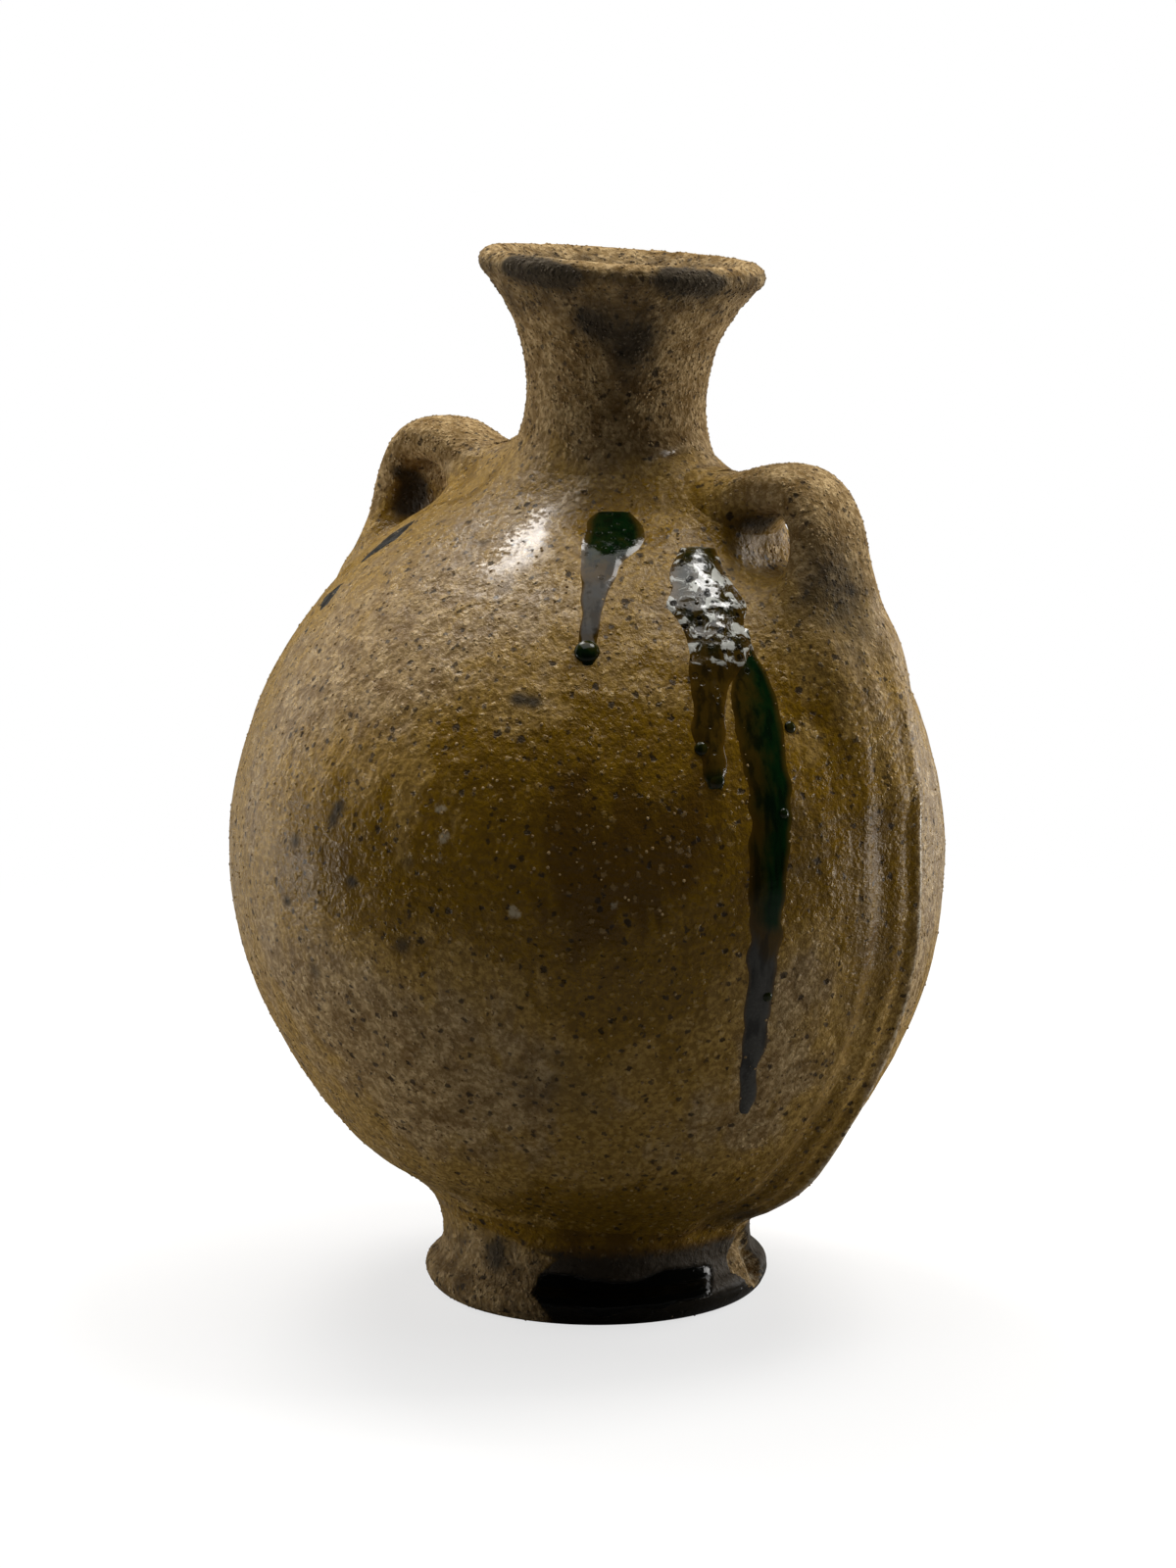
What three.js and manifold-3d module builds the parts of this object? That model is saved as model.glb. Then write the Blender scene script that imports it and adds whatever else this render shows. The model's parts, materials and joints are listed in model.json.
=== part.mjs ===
// A two-handled earthenware jug of flask form. Millimetres, +Z up.
// Two thrown bowls are joined rim to rim into a round body that lies on its side, and a neck, a foot ring
// and two loop handles are luted on with slip. Every joint keeps the slip line as a thin gap.
// The origin is the centre of the foot on the ground. The front bowl faces -Y, and the handles stand at -X
// and +X.

import * as THREE from "three";
import { mergeVertices } from "three/addons/utils/BufferGeometryUtils.js";
import Module from "manifold-3d";

const wasm = await Module();
wasm.setup();

// The slip line between luted pieces.
const slipGap = 0.3;

// The body: bowls thrown about the Y axis, then stood up so that the joint is a circle in the XZ plane.
const bodyRadius = 104;
const frontDepth = 106;
const rearDepth = 88;
const domeRoundness = 1.72;
const bodyWall = 8;
const underBody = 17.5;
const bodyLean = 3.3;

// The joined bowls settle before they dry: the shoulders fill a little and the belly sags out over the foot.
// The amounts are shares of the radius, and the level is measured down from the middle.
const shoulderFullness = 0.004;
const bellySag = 0.125;
const bellyLevel = 96;
const bellySpread = 23;

// The rear bowl's rim stands proud as a ridge, and the front bowl starts with a shallow valley beside it.
const ridgeHeight = 2.2;
const ridgeWidth = 11;
const valleyDepth = 1.6;
const valleyWidth = 16;

// The neck, with a trumpet mouth and a rolled lip.
const neckRadius = 24.2;
const neckHeight = 54.3;
const boreRadius = 17;
const lipRadius = 38.3;
const lipRoll = 4;
const mouthTilt = 2;
const flareHeight = 37;
const filletHeight = 11;
const flangeRadius = 34;
const flangeBite = 2.5;
const mouthLead = 1.5;
const flareFootShare = 1 / 3;
const flareLipShare = 1 / 5;

// The foot ring, with a rolled flange and a waist.
const flangeFootRadius = 47.4;
const flangeFootRoll = 4.8;
const waistRadius = 42.5;
const waistHeight = 15.5;
const waistEase = 1;
const flangeLead = 2;
const footTopRadius = 52;
const footBite = 3;
const footBore = 34.5;

// The loop handles, by angles from the top of the body round to the crown, the roots and the tail.
const handleAngle = 33.5;
const upperSpan = 13.5;
const lowerSpan = 16.5;
const rootAngle = 2.5;
const tailAngle = 22;
const rightRise = 17;
const leftRise = 18.7;
const strapThickness = 13.5;
const strapWidth = 24;
const upperWidth = 21;
const lowerWidth = 31;
const tailWidth = 12;
const spreadStart = 0.3;
const endThinning = 0.15;
const tailSink = 5;
const rootSink = 8;
const strapSquareness = 2.7;

// The finger hollow that is pressed into the shoulder under each loop.
const hollowDepth = 5;
const hollowAngle = 9;
const hollowReach = 14;

// Facets, and how far the rings of a bowl crowd towards its rim.
const bodySegments = 64;
const domeSteps = 14;
const innerSteps = 7;
const neckSegments = 40;
const curveSteps = 5;
const handleSteps = 30;
const strapSides = 18;
const rimCrowding = 1.6;
const weldDistance = 1e-4;
const dropPasses = 6;

const bodyHeight = underBody + bodyRadius;
const lean = THREE.MathUtils.degToRad(bodyLean);
const neckTop = bodyRadius + neckHeight;

const clay = { roughness: 0.62, metalness: 0 };
const glazedClay = new THREE.MeshStandardMaterial({ ...clay, color: 0x8f6a33 });
const neckClay = new THREE.MeshStandardMaterial({ ...clay, color: 0x7c6642, roughness: 0.78 });
const footClay = new THREE.MeshStandardMaterial({ ...clay, color: 0x80643a, roughness: 0.7 });
const handleClay = new THREE.MeshStandardMaterial({ ...clay, color: 0x846a40, roughness: 0.75 });

// Radius of a dome of the given depth at a distance from the joint.
function domeRadius(depth, distance) {
  const share = Math.min(Math.abs(distance) / depth, 1);
  return bodyRadius * Math.pow(1 - Math.pow(share, domeRoundness), 1 / domeRoundness);
}

// One dome from its joint to its pole, as points of radius and distance along Y, crowded near the joint.
function domeProfile(radius, depth, steps, start) {
  const points = [];
  for (let step = 0; step <= steps; step += 1) {
    const turn = (Math.PI / 2) * Math.pow(step / steps, rimCrowding);
    const distance = depth * Math.pow(Math.sin(turn), 2 / domeRoundness);
    const reach = step === steps ? 0 : radius * Math.pow(Math.cos(turn), 2 / domeRoundness);
    points.push(new THREE.Vector2(reach, Math.max(distance, start)));
  }
  return points;
}

// The valley in the front bowl's edge and the ridge on the rear bowl's rim. The handles' roots smooth them
// away above.
function swellAt(angle, distance) {
  const width = distance < 0 ? valleyWidth : ridgeWidth;
  const height = distance < 0 ? -valleyDepth : ridgeHeight;
  const wave = Math.abs(distance) < width ? Math.sin((distance * Math.PI) / width) ** 2 : 0;
  const turn = Math.abs(THREE.MathUtils.radToDeg(angle));
  return height * wave * THREE.MathUtils.smoothstep(turn, handleAngle, handleAngle + lowerSpan);
}

// The settled shoulders as a share of the thrown radius, by the angle from the top.
function shoulderShare(angle) {
  return 1 + (Math.cos(angle) > 0 ? shoulderFullness * Math.sin(2 * angle) ** 2 : 0);
}

// The sagged belly as a share of the distance from the upright axis, by the height over the middle.
function bellyShare(height) {
  return 1 + bellySag * Math.exp(-(((height + bellyLevel) / bellySpread) ** 2));
}

// The depth of the finger hollow under a loop.
function hollowAt(angle, distance) {
  const turn = (Math.abs(THREE.MathUtils.radToDeg(angle)) - handleAngle) / hollowAngle;
  return hollowDepth * Math.exp(-turn * turn - (distance / hollowReach) ** 2);
}

// Moves the points of a thrown bowl to the settled outline, the ridge or valley and the finger hollows.
function settle(geometry) {
  const place = geometry.getAttribute("position");
  for (let index = 0; index < place.count; index += 1) {
    const radius = Math.hypot(place.getX(index), place.getZ(index));
    const angle = Math.atan2(place.getX(index), place.getZ(index));
    const nearRim = Math.min(radius / bodyRadius, 1) ** 2;
    const shift = swellAt(angle, place.getY(index)) - hollowAt(angle, place.getY(index));
    const moved = radius * shoulderShare(angle) + nearRim * shift;
    const height = moved * Math.cos(angle);
    const belly = bellyShare(height);
    place.setXYZ(index, belly * moved * Math.sin(angle), belly * place.getY(index), height);
  }
  return geometry;
}

// A closed solid from a geometry, with its shared points merged and its collapsed faces dropped.
function solidFrom(geometry) {
  const bare = new THREE.BufferGeometry();
  bare.setAttribute("position", geometry.getAttribute("position"));
  bare.setIndex(geometry.index);
  const merged = mergeVertices(bare, weldDistance);
  const corners = merged.index.array;
  const faces = [];
  for (let first = 0; first < corners.length; first += 3) {
    const face = [corners[first], corners[first + 1], corners[first + 2]];
    if (new Set(face).size === 3) faces.push(...face);
  }
  const vertProperties = new Float32Array(merged.getAttribute("position").array);
  return new wasm.Manifold(new wasm.Mesh({ numProp: 3, vertProperties, triVerts: new Uint32Array(faces) }));
}

// The drawable geometry of a solid.
function geometryFrom(solid) {
  const mesh = solid.getMesh();
  const geometry = new THREE.BufferGeometry();
  geometry.setAttribute("position", new THREE.BufferAttribute(new Float32Array(mesh.vertProperties), 3));
  geometry.setIndex(new THREE.BufferAttribute(new Uint32Array(mesh.triVerts), 1));
  geometry.computeVertexNormals();
  return geometry;
}

// One bowl: outer wall from the pole to the rim, then inner wall back to the pole. Side is -1 in front and
// 1 behind.
function bowlGeometry(side, depth) {
  const rim = slipGap / 2;
  const outer = domeProfile(bodyRadius, depth, domeSteps, rim).reverse();
  const inner = domeProfile(bodyRadius - bodyWall, depth - bodyWall, innerSteps, rim);
  const profile = [...outer, ...inner].map((point) => new THREE.Vector2(point.x, side * point.y));
  return settle(new THREE.LatheGeometry(side < 0 ? profile : profile.reverse(), bodySegments));
}

// The whole outside of the body, grown by the slip line, that the luted pieces are cut to.
function bodyCutterGeometry() {
  const radius = bodyRadius + slipGap;
  const front = domeProfile(radius, frontDepth + slipGap, domeSteps, slipGap / 2).reverse();
  const rear = domeProfile(radius, rearDepth + slipGap, domeSteps, slipGap / 2);
  const profile = front.map((point) => new THREE.Vector2(point.x, -point.y));
  profile.push(...rear);
  return settle(new THREE.LatheGeometry(profile, bodySegments));
}

// Height of the joint's circle over the middle of the body, at a distance from the upright axis.
function jointHeight(distance) {
  return Math.sqrt(Math.max(bodyRadius ** 2 - distance ** 2, 0));
}

// How much nearer to the middle the body's surface lies at a place than on a plain ball. The end is 1 at the
// top of the body and -1 at its foot.
function surfaceDrop(x, y, end) {
  const plain = jointHeight(Math.hypot(x, y));
  let height = plain;
  for (let pass = 0; pass < dropPasses; pass += 1) {
    const belly = bellyShare(end * height);
    const thrownX = x / belly;
    const thrownY = y / belly;
    const angle = Math.atan2(thrownX, end * height);
    const radius = domeRadius(thrownY < 0 ? frontDepth : rearDepth, thrownY);
    const settled = radius * shoulderShare(angle) + swellAt(angle, thrownY);
    height = Math.sqrt(Math.max(settled ** 2 - thrownX ** 2, 0));
  }
  return plain - height;
}

// A thrown end is pressed on to the body, so between two levels it takes up the drop of the body's surface.
function pressOn(geometry, freeLevel, seatLevel, end) {
  const place = geometry.getAttribute("position");
  for (let index = 0; index < place.count; index += 1) {
    const share = (place.getZ(index) - freeLevel) / (seatLevel - freeLevel);
    const drop = surfaceDrop(place.getX(index), place.getY(index), end);
    place.setZ(index, place.getZ(index) - end * drop * THREE.MathUtils.clamp(share, 0, 1));
  }
  return geometry;
}

const filletFoot = jointHeight(flangeRadius) - flangeBite;
const filletTop = filletFoot + filletHeight;
const footTopHeight = bodyHeight - jointHeight(footTopRadius) + footBite;

// The neck's closed outline: out along the body, round the flange, up the trumpet, over the lip and down the
// bore. It can be grown by the slip line.
function neckOutline(grow) {
  const foot = filletFoot - bodyWall;
  const flareFoot = neckTop - flareHeight;
  const lipX = lipRadius - lipRoll;
  const lipZ = neckTop - lipRoll;
  const roll = lipRoll + grow;
  const underLip = -Math.PI / 4;
  const overLip = (3 * Math.PI) / 4;
  const lipStart = new THREE.Vector2(lipX + roll * Math.cos(underLip), lipZ + roll * Math.sin(underLip));
  const flareLead = flareHeight * flareLipShare;
  const outline = new THREE.Path();
  outline.moveTo(boreRadius - grow, foot);
  outline.lineTo(flangeRadius + grow, foot);
  outline.lineTo(flangeRadius + grow, filletFoot);
  outline.quadraticCurveTo(neckRadius + grow, filletFoot, neckRadius + grow, filletTop);
  outline.lineTo(neckRadius + grow, flareFoot);
  outline.bezierCurveTo(
    neckRadius + grow,
    flareFoot + flareHeight * flareFootShare,
    lipStart.x - flareLead,
    lipStart.y - flareLead,
    lipStart.x,
    lipStart.y,
  );
  outline.absarc(lipX, lipZ, roll, underLip, overLip, false);
  outline.quadraticCurveTo(boreRadius - grow + mouthLead, lipZ - lipRoll, boreRadius - grow, flareFoot);
  outline.lineTo(boreRadius - grow, foot);
  return outline;
}

// The foot ring's closed outline, from its bore round the flange and the waist to a top that meets the body.
function footOutline() {
  const rollX = flangeFootRadius - flangeFootRoll;
  const rollEnd = Math.PI / 4;
  const endX = rollX + flangeFootRoll * Math.cos(rollEnd);
  const endZ = flangeFootRoll * (1 + Math.sin(rollEnd));
  const outline = new THREE.Path();
  outline.moveTo(footBore, 0);
  outline.lineTo(rollX, 0);
  outline.absarc(rollX, flangeFootRoll, flangeFootRoll, -Math.PI / 2, rollEnd, false);
  outline.bezierCurveTo(
    waistRadius + waistEase,
    endZ + flangeLead,
    waistRadius,
    (endZ + waistHeight) / 2,
    waistRadius,
    waistHeight,
  );
  outline.quadraticCurveTo(waistRadius, (waistHeight + footTopHeight) / 2, footTopRadius, footTopHeight);
  outline.lineTo(footBore, footTopHeight);
  outline.lineTo(footBore, 0);
  return outline;
}

// An outline thrown about the upright axis.
function turnedGeometry(outline) {
  return new THREE.LatheGeometry(outline.getPoints(curveSteps), neckSegments).rotateX(Math.PI / 2);
}

// The neck, pressed on to the body at its foot and a little askew at its mouth.
function neckGeometry(grow) {
  const geometry = pressOn(turnedGeometry(neckOutline(grow)), filletTop, filletFoot, 1);
  const place = geometry.getAttribute("position");
  const slope = Math.tan(THREE.MathUtils.degToRad(mouthTilt));
  for (let index = 0; index < place.count; index += 1) {
    const share = THREE.MathUtils.clamp((place.getZ(index) - neckTop + flareHeight) / flareHeight, 0, 1);
    place.setZ(index, place.getZ(index) - slope * share * place.getX(index));
  }
  return geometry;
}

// The foot ring, pressed on to the body at its top.
function footGeometry() {
  return pressOn(turnedGeometry(footOutline()), waistHeight, footTopHeight, -1);
}

// How the strap runs at an angle from the top: its height over the body, its width and its thickness.
function strapAt(angle, rise) {
  const fromCrown = angle - handleAngle;
  const span = fromCrown < 0 ? upperSpan : lowerSpan;
  const past = Math.max(Math.abs(fromCrown) - span, 0);
  const share = Math.min(Math.abs(fromCrown) / span, 1);
  const arch = Math.cos((share * Math.PI) / 2) ** 2;
  const ending = THREE.MathUtils.smoothstep(past, 0, fromCrown < 0 ? rootAngle : tailAngle);
  const sink = fromCrown < 0 ? rootSink : tailSink;
  const rootWidth = fromCrown < 0 ? upperWidth : lowerWidth;
  const endWidth = fromCrown < 0 ? upperWidth : tailWidth;
  const spread = THREE.MathUtils.smoothstep(share, spreadStart, 1);
  return {
    height: rise * arch - sink * ending,
    width: THREE.MathUtils.lerp(THREE.MathUtils.lerp(strapWidth, rootWidth, spread), endWidth, ending),
    thickness: strapThickness * (1 - endThinning * ending),
  };
}

// The centre of the strap, in the plane of the joint.
function strapCentre(angle, rise) {
  const turn = THREE.MathUtils.degToRad(angle);
  const reach = bodyRadius * shoulderShare(turn) + strapAt(angle, rise).height;
  return new THREE.Vector3(reach * Math.sin(turn), 0, reach * Math.cos(turn));
}

// The strap, lofted through rounded sections from its upper root over the loop to the end of its tail.
function handleGeometry(rise) {
  const firstAngle = handleAngle - upperSpan - rootAngle;
  const lastAngle = handleAngle + lowerSpan + tailAngle;
  const nearby = 0.1;
  const places = [];
  const corners = [];
  for (let step = 0; step <= handleSteps; step += 1) {
    const angle = THREE.MathUtils.lerp(firstAngle, lastAngle, step / handleSteps);
    const centre = strapCentre(angle, rise);
    const along = strapCentre(angle + nearby, rise).sub(strapCentre(angle - nearby, rise)).normalize();
    const outward = new THREE.Vector3(-along.z, 0, along.x);
    const { width, thickness } = strapAt(angle, rise);
    for (let side = 0; side < strapSides; side += 1) {
      const turn = (2 * Math.PI * side) / strapSides;
      const across = Math.sign(Math.cos(turn)) * Math.abs(Math.cos(turn)) ** (2 / strapSquareness);
      const up = Math.sign(Math.sin(turn)) * Math.abs(Math.sin(turn)) ** (2 / strapSquareness);
      const point = centre.clone().addScaledVector(outward, (up * thickness) / 2);
      places.push(point.x, (across * width) / 2, point.z);
    }
  }
  for (let step = 0; step < handleSteps; step += 1) {
    for (let side = 0; side < strapSides; side += 1) {
      const here = step * strapSides + side;
      const next = step * strapSides + ((side + 1) % strapSides);
      corners.push(here, next, here + strapSides, next, next + strapSides, here + strapSides);
    }
  }
  const lastRing = handleSteps * strapSides;
  for (let side = 1; side < strapSides - 1; side += 1) {
    corners.push(0, side + 1, side);
    corners.push(lastRing, lastRing + side, lastRing + side + 1);
  }
  const geometry = new THREE.BufferGeometry();
  geometry.setAttribute("position", new THREE.Float32BufferAttribute(places, 3));
  geometry.setIndex(corners);
  return geometry;
}

// The same handle on the other shoulder.
function mirrored(geometry) {
  const copy = geometry.clone().scale(-1, 1, 1);
  const corners = copy.index.array;
  for (let first = 0; first < corners.length; first += 3) {
    [corners[first + 1], corners[first + 2]] = [corners[first + 2], corners[first + 1]];
  }
  return copy;
}

// A solid in a node of its own.
function named(name, solid, material) {
  const mesh = new THREE.Mesh(geometryFrom(solid), material);
  mesh.name = name;
  return mesh;
}

const bodyCutter = solidFrom(bodyCutterGeometry());
const boreLength = bodyRadius;
const bore = new THREE.CylinderGeometry(boreRadius, boreRadius, boreLength, neckSegments)
  .rotateX(Math.PI / 2)
  .translate(0, 0, bodyRadius / 2 + boreLength / 2);
const boreSolid = solidFrom(bore);
const neckBlank = solidFrom(neckGeometry(0));
const neckCutter = solidFrom(neckGeometry(slipGap));
const footBlank = solidFrom(footGeometry());
const rightStrap = handleGeometry(rightRise);
const leftStrap = mirrored(handleGeometry(leftRise));
const settledCutter = solidFrom(bodyCutterGeometry().rotateY(lean).translate(0, 0, bodyHeight));

const body = new THREE.Group();
body.position.z = bodyHeight;
body.rotation.y = lean;
body.add(named("front_bowl", solidFrom(bowlGeometry(-1, frontDepth)).subtract(boreSolid), glazedClay));
body.add(named("rear_bowl", solidFrom(bowlGeometry(1, rearDepth)).subtract(boreSolid), glazedClay));
body.add(named("neck", neckBlank.subtract(bodyCutter), neckClay));
body.add(named("right_handle", solidFrom(rightStrap).subtract(bodyCutter).subtract(neckCutter), handleClay));
body.add(named("left_handle", solidFrom(leftStrap).subtract(bodyCutter).subtract(neckCutter), handleClay));

const jug = new THREE.Group();
jug.add(body);
jug.add(named("foot_ring", footBlank.subtract(settledCutter), footClay));

export default jug;
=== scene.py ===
"""Clay, glaze and stage of a two-handled pottery jug, laid out as a Blender 4.5 add-on."""

import json
import math
from functools import cache

import bmesh
import bpy
import numpy as np
from bpy.props import FloatProperty, FloatVectorProperty, PointerProperty
from mathutils import Matrix, Vector, noise
from mathutils.bvhtree import BVHTree

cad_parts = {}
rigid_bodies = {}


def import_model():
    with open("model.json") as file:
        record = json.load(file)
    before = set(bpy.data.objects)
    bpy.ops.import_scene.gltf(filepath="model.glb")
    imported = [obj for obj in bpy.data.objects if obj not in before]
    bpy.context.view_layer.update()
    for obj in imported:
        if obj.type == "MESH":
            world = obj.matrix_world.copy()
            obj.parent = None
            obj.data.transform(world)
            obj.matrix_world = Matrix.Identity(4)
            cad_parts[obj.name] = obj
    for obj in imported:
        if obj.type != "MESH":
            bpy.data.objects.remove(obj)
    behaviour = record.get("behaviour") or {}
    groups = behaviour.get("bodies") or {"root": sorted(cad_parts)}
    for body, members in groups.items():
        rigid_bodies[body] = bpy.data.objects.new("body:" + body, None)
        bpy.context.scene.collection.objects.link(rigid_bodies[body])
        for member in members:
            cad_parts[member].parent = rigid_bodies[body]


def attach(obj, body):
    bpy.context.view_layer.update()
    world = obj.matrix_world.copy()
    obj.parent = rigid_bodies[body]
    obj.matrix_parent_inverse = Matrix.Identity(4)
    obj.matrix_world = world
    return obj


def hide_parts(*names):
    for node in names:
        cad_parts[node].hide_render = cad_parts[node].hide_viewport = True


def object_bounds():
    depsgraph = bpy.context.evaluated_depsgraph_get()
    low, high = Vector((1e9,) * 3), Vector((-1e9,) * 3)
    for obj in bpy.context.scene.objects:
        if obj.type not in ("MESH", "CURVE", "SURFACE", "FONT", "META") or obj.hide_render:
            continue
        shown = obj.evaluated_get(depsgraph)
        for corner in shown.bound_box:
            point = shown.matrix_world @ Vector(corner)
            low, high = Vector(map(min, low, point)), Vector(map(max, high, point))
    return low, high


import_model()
CAD_BOX = [list(corner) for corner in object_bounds()]

bl_info = {
    "name": "Pottery Jug",
    "version": (1, 0, 0),
    "blender": (4, 5, 0),
    "location": "View3D > Sidebar > Jug",
    "description": "Builds the clay, the glaze and the stage of a two-handled pottery jug",
    "category": "Add Mesh",
}

# The photograph's frame, in pixels, and the focal length in the same pixels.
PHOTO_WIDTH = 1200
PHOTO_HEIGHT = 1600
PHOTO_FOCAL = 3559
SENSOR = 36

BODY = "root"
MM = 0.001

# Outlines of the glaze runs in the photograph's frame: each row is y, left edge, right edge.
CENTRE_RUN = (
    (521, 612, 640), (528, 598, 655), (540, 592, 661), (552, 591, 660), (562, 592, 650), (575, 591, 634),
    (590, 591, 629), (605, 592, 622), (620, 592, 616), (636, 594, 613), (646, 592, 612), (656, 588, 612),
    (666, 587, 612), (674, 590, 609), (680, 596, 603),
)
CRUST_RUN = (
    (558, 696, 728), (566, 688, 734), (580, 687, 736), (602, 684, 752), (619, 680, 762), (635, 692, 760),
    (652, 700, 766), (672, 703, 768), (700, 705, 744), (726, 705, 741), (747, 707, 740), (762, 712, 740),
    (780, 718, 740), (796, 719, 740), (806, 724, 737),
)
GREEN_RUN = (
    (640, 748, 764), (655, 744, 770), (672, 742, 774), (702, 744, 791), (730, 746, 801), (758, 750, 805),
    (786, 756, 808), (813, 761, 811), (841, 762, 811), (869, 762, 808), (897, 762, 805), (924, 762, 802),
    (952, 763, 801), (980, 761, 796), (1009, 759, 792), (1038, 756, 786), (1068, 756, 783), (1097, 754, 774),
    (1126, 750, 769), (1138, 755, 764),
)
SIDE_STREAK = (
    (512, 446, 454), (530, 417, 432), (550, 390, 405), (574, 362, 377), (600, 337, 350), (625, 320, 330),
    (648, 306, 312),
)
# The left edge of the glaze that ran over the foot: each row is y, x.
FOOT_EDGE = (
    (1215, 430), (1242, 468), (1262, 516), (1285, 567), (1300, 552), (1320, 545), (1342, 560), (1360, 566),
)
# Single beads of glaze: x, y and radius in the photograph's frame.
BEADS = (
    (599, 665, 12), (731, 797, 8), (716, 764, 7), (800, 830, 5), (783, 1017, 5), (806, 742, 6),
)

# Soft spots on the clay: x and y in the photograph's frame, radius in mm, strength.
# The amber spots hold real amber patches, and also painted shade (darker in the loops' holes, beside the green
# run and low in the middle) and painted light (paler at the neck's foot, on the right edge and low on the left
# and right).
AMBER_AND_SHADING_SPOTS = (
    (600, 500, 7, 0.2), (640, 500, 7, 0.3), (682, 500, 7, 0.3), (718, 500, 6, 0.3), (620, 514, 8, 0.5),
    (668, 524, 9, 0.6), (705, 524, 8, 0.5), (590, 540, 6, 0.6), (600, 470, 7, -0.8), (560, 485, 9, -0.8),
    (660, 470, 6, -0.5), (710, 470, 6, -0.6), (560, 545, 10, 0.2), (450, 730, 7, 0.8), (472, 755, 9, 1.0),
    (492, 800, 9, 1.0), (500, 850, 7, 0.6), (315, 850, 14, 0.8), (350, 885, 17, 0.9), (295, 895, 14, 0.8),
    (410, 930, 15, 0.9), (620, 790, 34, 0.5), (640, 930, 40, 0.85), (700, 860, 24, 0.9),
    (600, 870, 26, 0.6), (800, 1010, 16, -0.8), (800, 1090, 24, -1.1), (850, 1080, 13, -0.6),
    (750, 1160, 18, -0.9), (840, 635, 9, 0.6), (422, 500, 7, 1.6), (410, 520, 6, 1.4), (768, 530, 7, 1.4),
    (744, 560, 6, 1.0), (816, 800, 11, 1.0), (820, 880, 12, 1.0), (955, 860, 15, -1.2),
    (950, 940, 15, -1.2), (945, 1010, 12, -1.0), (945, 780, 12, -1.0), (690, 1225, 18, 0.9),
    (620, 1245, 12, 0.8), (560, 1235, 12, 0.6), (330, 715, 30, -0.8), (560, 640, 18, -0.4),
    (450, 600, 26, -0.9), (430, 690, 18, -0.6), (640, 1010, 30, 0.5), (470, 1030, 26, -0.6),
    (560, 1090, 20, -0.4), (400, 1090, 24, -1.2), (340, 1030, 20, -1.0), (460, 1150, 20, -0.9),
)
# The soot spots hold real smudges on the neck and lower body and the lip's and clay's pits, and also painted
# shade: in the loops' holes, on the right loop's front, beside the green run and on the neck's front.
SOOT_AND_SHADE_SPOTS = (
    (600, 330, 5, 0.5), (625, 345, 7, 0.6), (655, 365, 7, 0.55), (660, 340, 5, 0.4), (522, 266, 3.5, 0.9),
    (540, 270, 4.5, 1.0), (560, 275, 4.5, 0.9), (578, 282, 3.5, 0.6), (685, 278, 4, 0.8),
    (705, 283, 5, 0.9), (728, 290, 4, 0.8), (540, 1110, 12, 0.35), (600, 1132, 9, 0.35),
    (650, 1090, 9, 0.3), (575, 1085, 8, 0.3), (405, 480, 3, 0.6), (492, 552, 2, 0.7), (760, 1240, 6, 0.6),
    (528, 713, 2.5, 0.9), (546, 716, 2.5, 0.9), (345, 822, 2.5, 0.9), (338, 838, 2.5, 0.8),
    (300, 858, 2.5, 0.9), (292, 920, 2, 0.9), (358, 900, 2, 1.0), (416, 880, 2.5, 0.6), (410, 965, 3, 0.8),
    (320, 992, 3, 0.7), (835, 600, 11, 0.35), (855, 560, 10, 0.25), (748, 537, 5, 0.8), (765, 527, 5, 0.9),
    (782, 528, 5, 0.8), (742, 560, 4, 0.6), (744, 580, 4, 0.5), (870, 610, 12, 0.35), (872, 660, 14, 0.4),
    (630, 400, 9, 0.3), (815, 830, 9, 0.4), (818, 890, 9, 0.4), (418, 488, 4, 0.7), (428, 498, 4, 0.9),
    (418, 512, 4.5, 0.9), (408, 522, 3.5, 0.8), (790, 640, 9, 0.25), (505, 1285, 3, 0.5),
    (507, 1272, 3, 0.4),
)
# The wear spots paint highlights, a pale patch at the neck's foot and small glints on the front, and a pale
# streak on the left.
HIGHLIGHT_AND_WEAR_SPOTS = (
    (525, 932, 3, 0.7), (627, 925, 2, 0.7), (447, 800, 2, 0.5), (448, 825, 2.5, 0.6), (452, 855, 3, 0.6),
    (448, 880, 3, 0.5), (560, 482, 8, 0.3), (600, 478, 8, 0.35), (640, 480, 7, 0.4), (660, 486, 4, 0.45),
    (678, 484, 5, 0.6), (696, 490, 4.5, 0.5), (720, 478, 6, 0.4),
)
WET_SPOTS = (
    (575, 522, 7, 0.9), (552, 545, 9, 1.0), (525, 575, 9, 0.9), (500, 600, 8, 0.6), (480, 530, 9, 0.6),
    (455, 520, 7, 0.5), (570, 605, 9, 0.7), (610, 500, 6, 0.6), (660, 480, 4, 1.5), (676, 475, 4.5, 1.7),
    (692, 472, 4.5, 1.7), (715, 505, 7, 0.6), (480, 770, 12, 0.4),
)
# The chip in the flange: its place in the photograph's frame, and the lean, rise and bite in mm of each facet.
CHIP_PLACE = (758, 1284)
CHIP_FACETS = ((0.1, 0.3, 0.5), (0.35, -0.1, 0.6), (-0.4, 0.0, 0.6))
# The x where the pool of glaze on the foot ends on the right.
POOL_END = 726

# Luting: how far a surface is searched for, how deep the skin lies, the number of passes, and the cosine
# under which a normal counts as one at an edge.
SEARCH = 0.02
SKIN = 1.5 * MM
PASSES = 5
EDGE_COSINE = 0.9
# How much of the overlap, and how much at most, clay is tucked in under its neighbour.
TUCK_SHARE = 0.3
TUCK_MOST = 0.5 * MM
# How deep the hidden part of a piece may lie in the wall that carries it.
BURIED = 5 * MM
# The ring of clay that a bowl's rim follows, by its distance from the joint.
RING = (0.6 * MM, 0.95 * MM)
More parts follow.
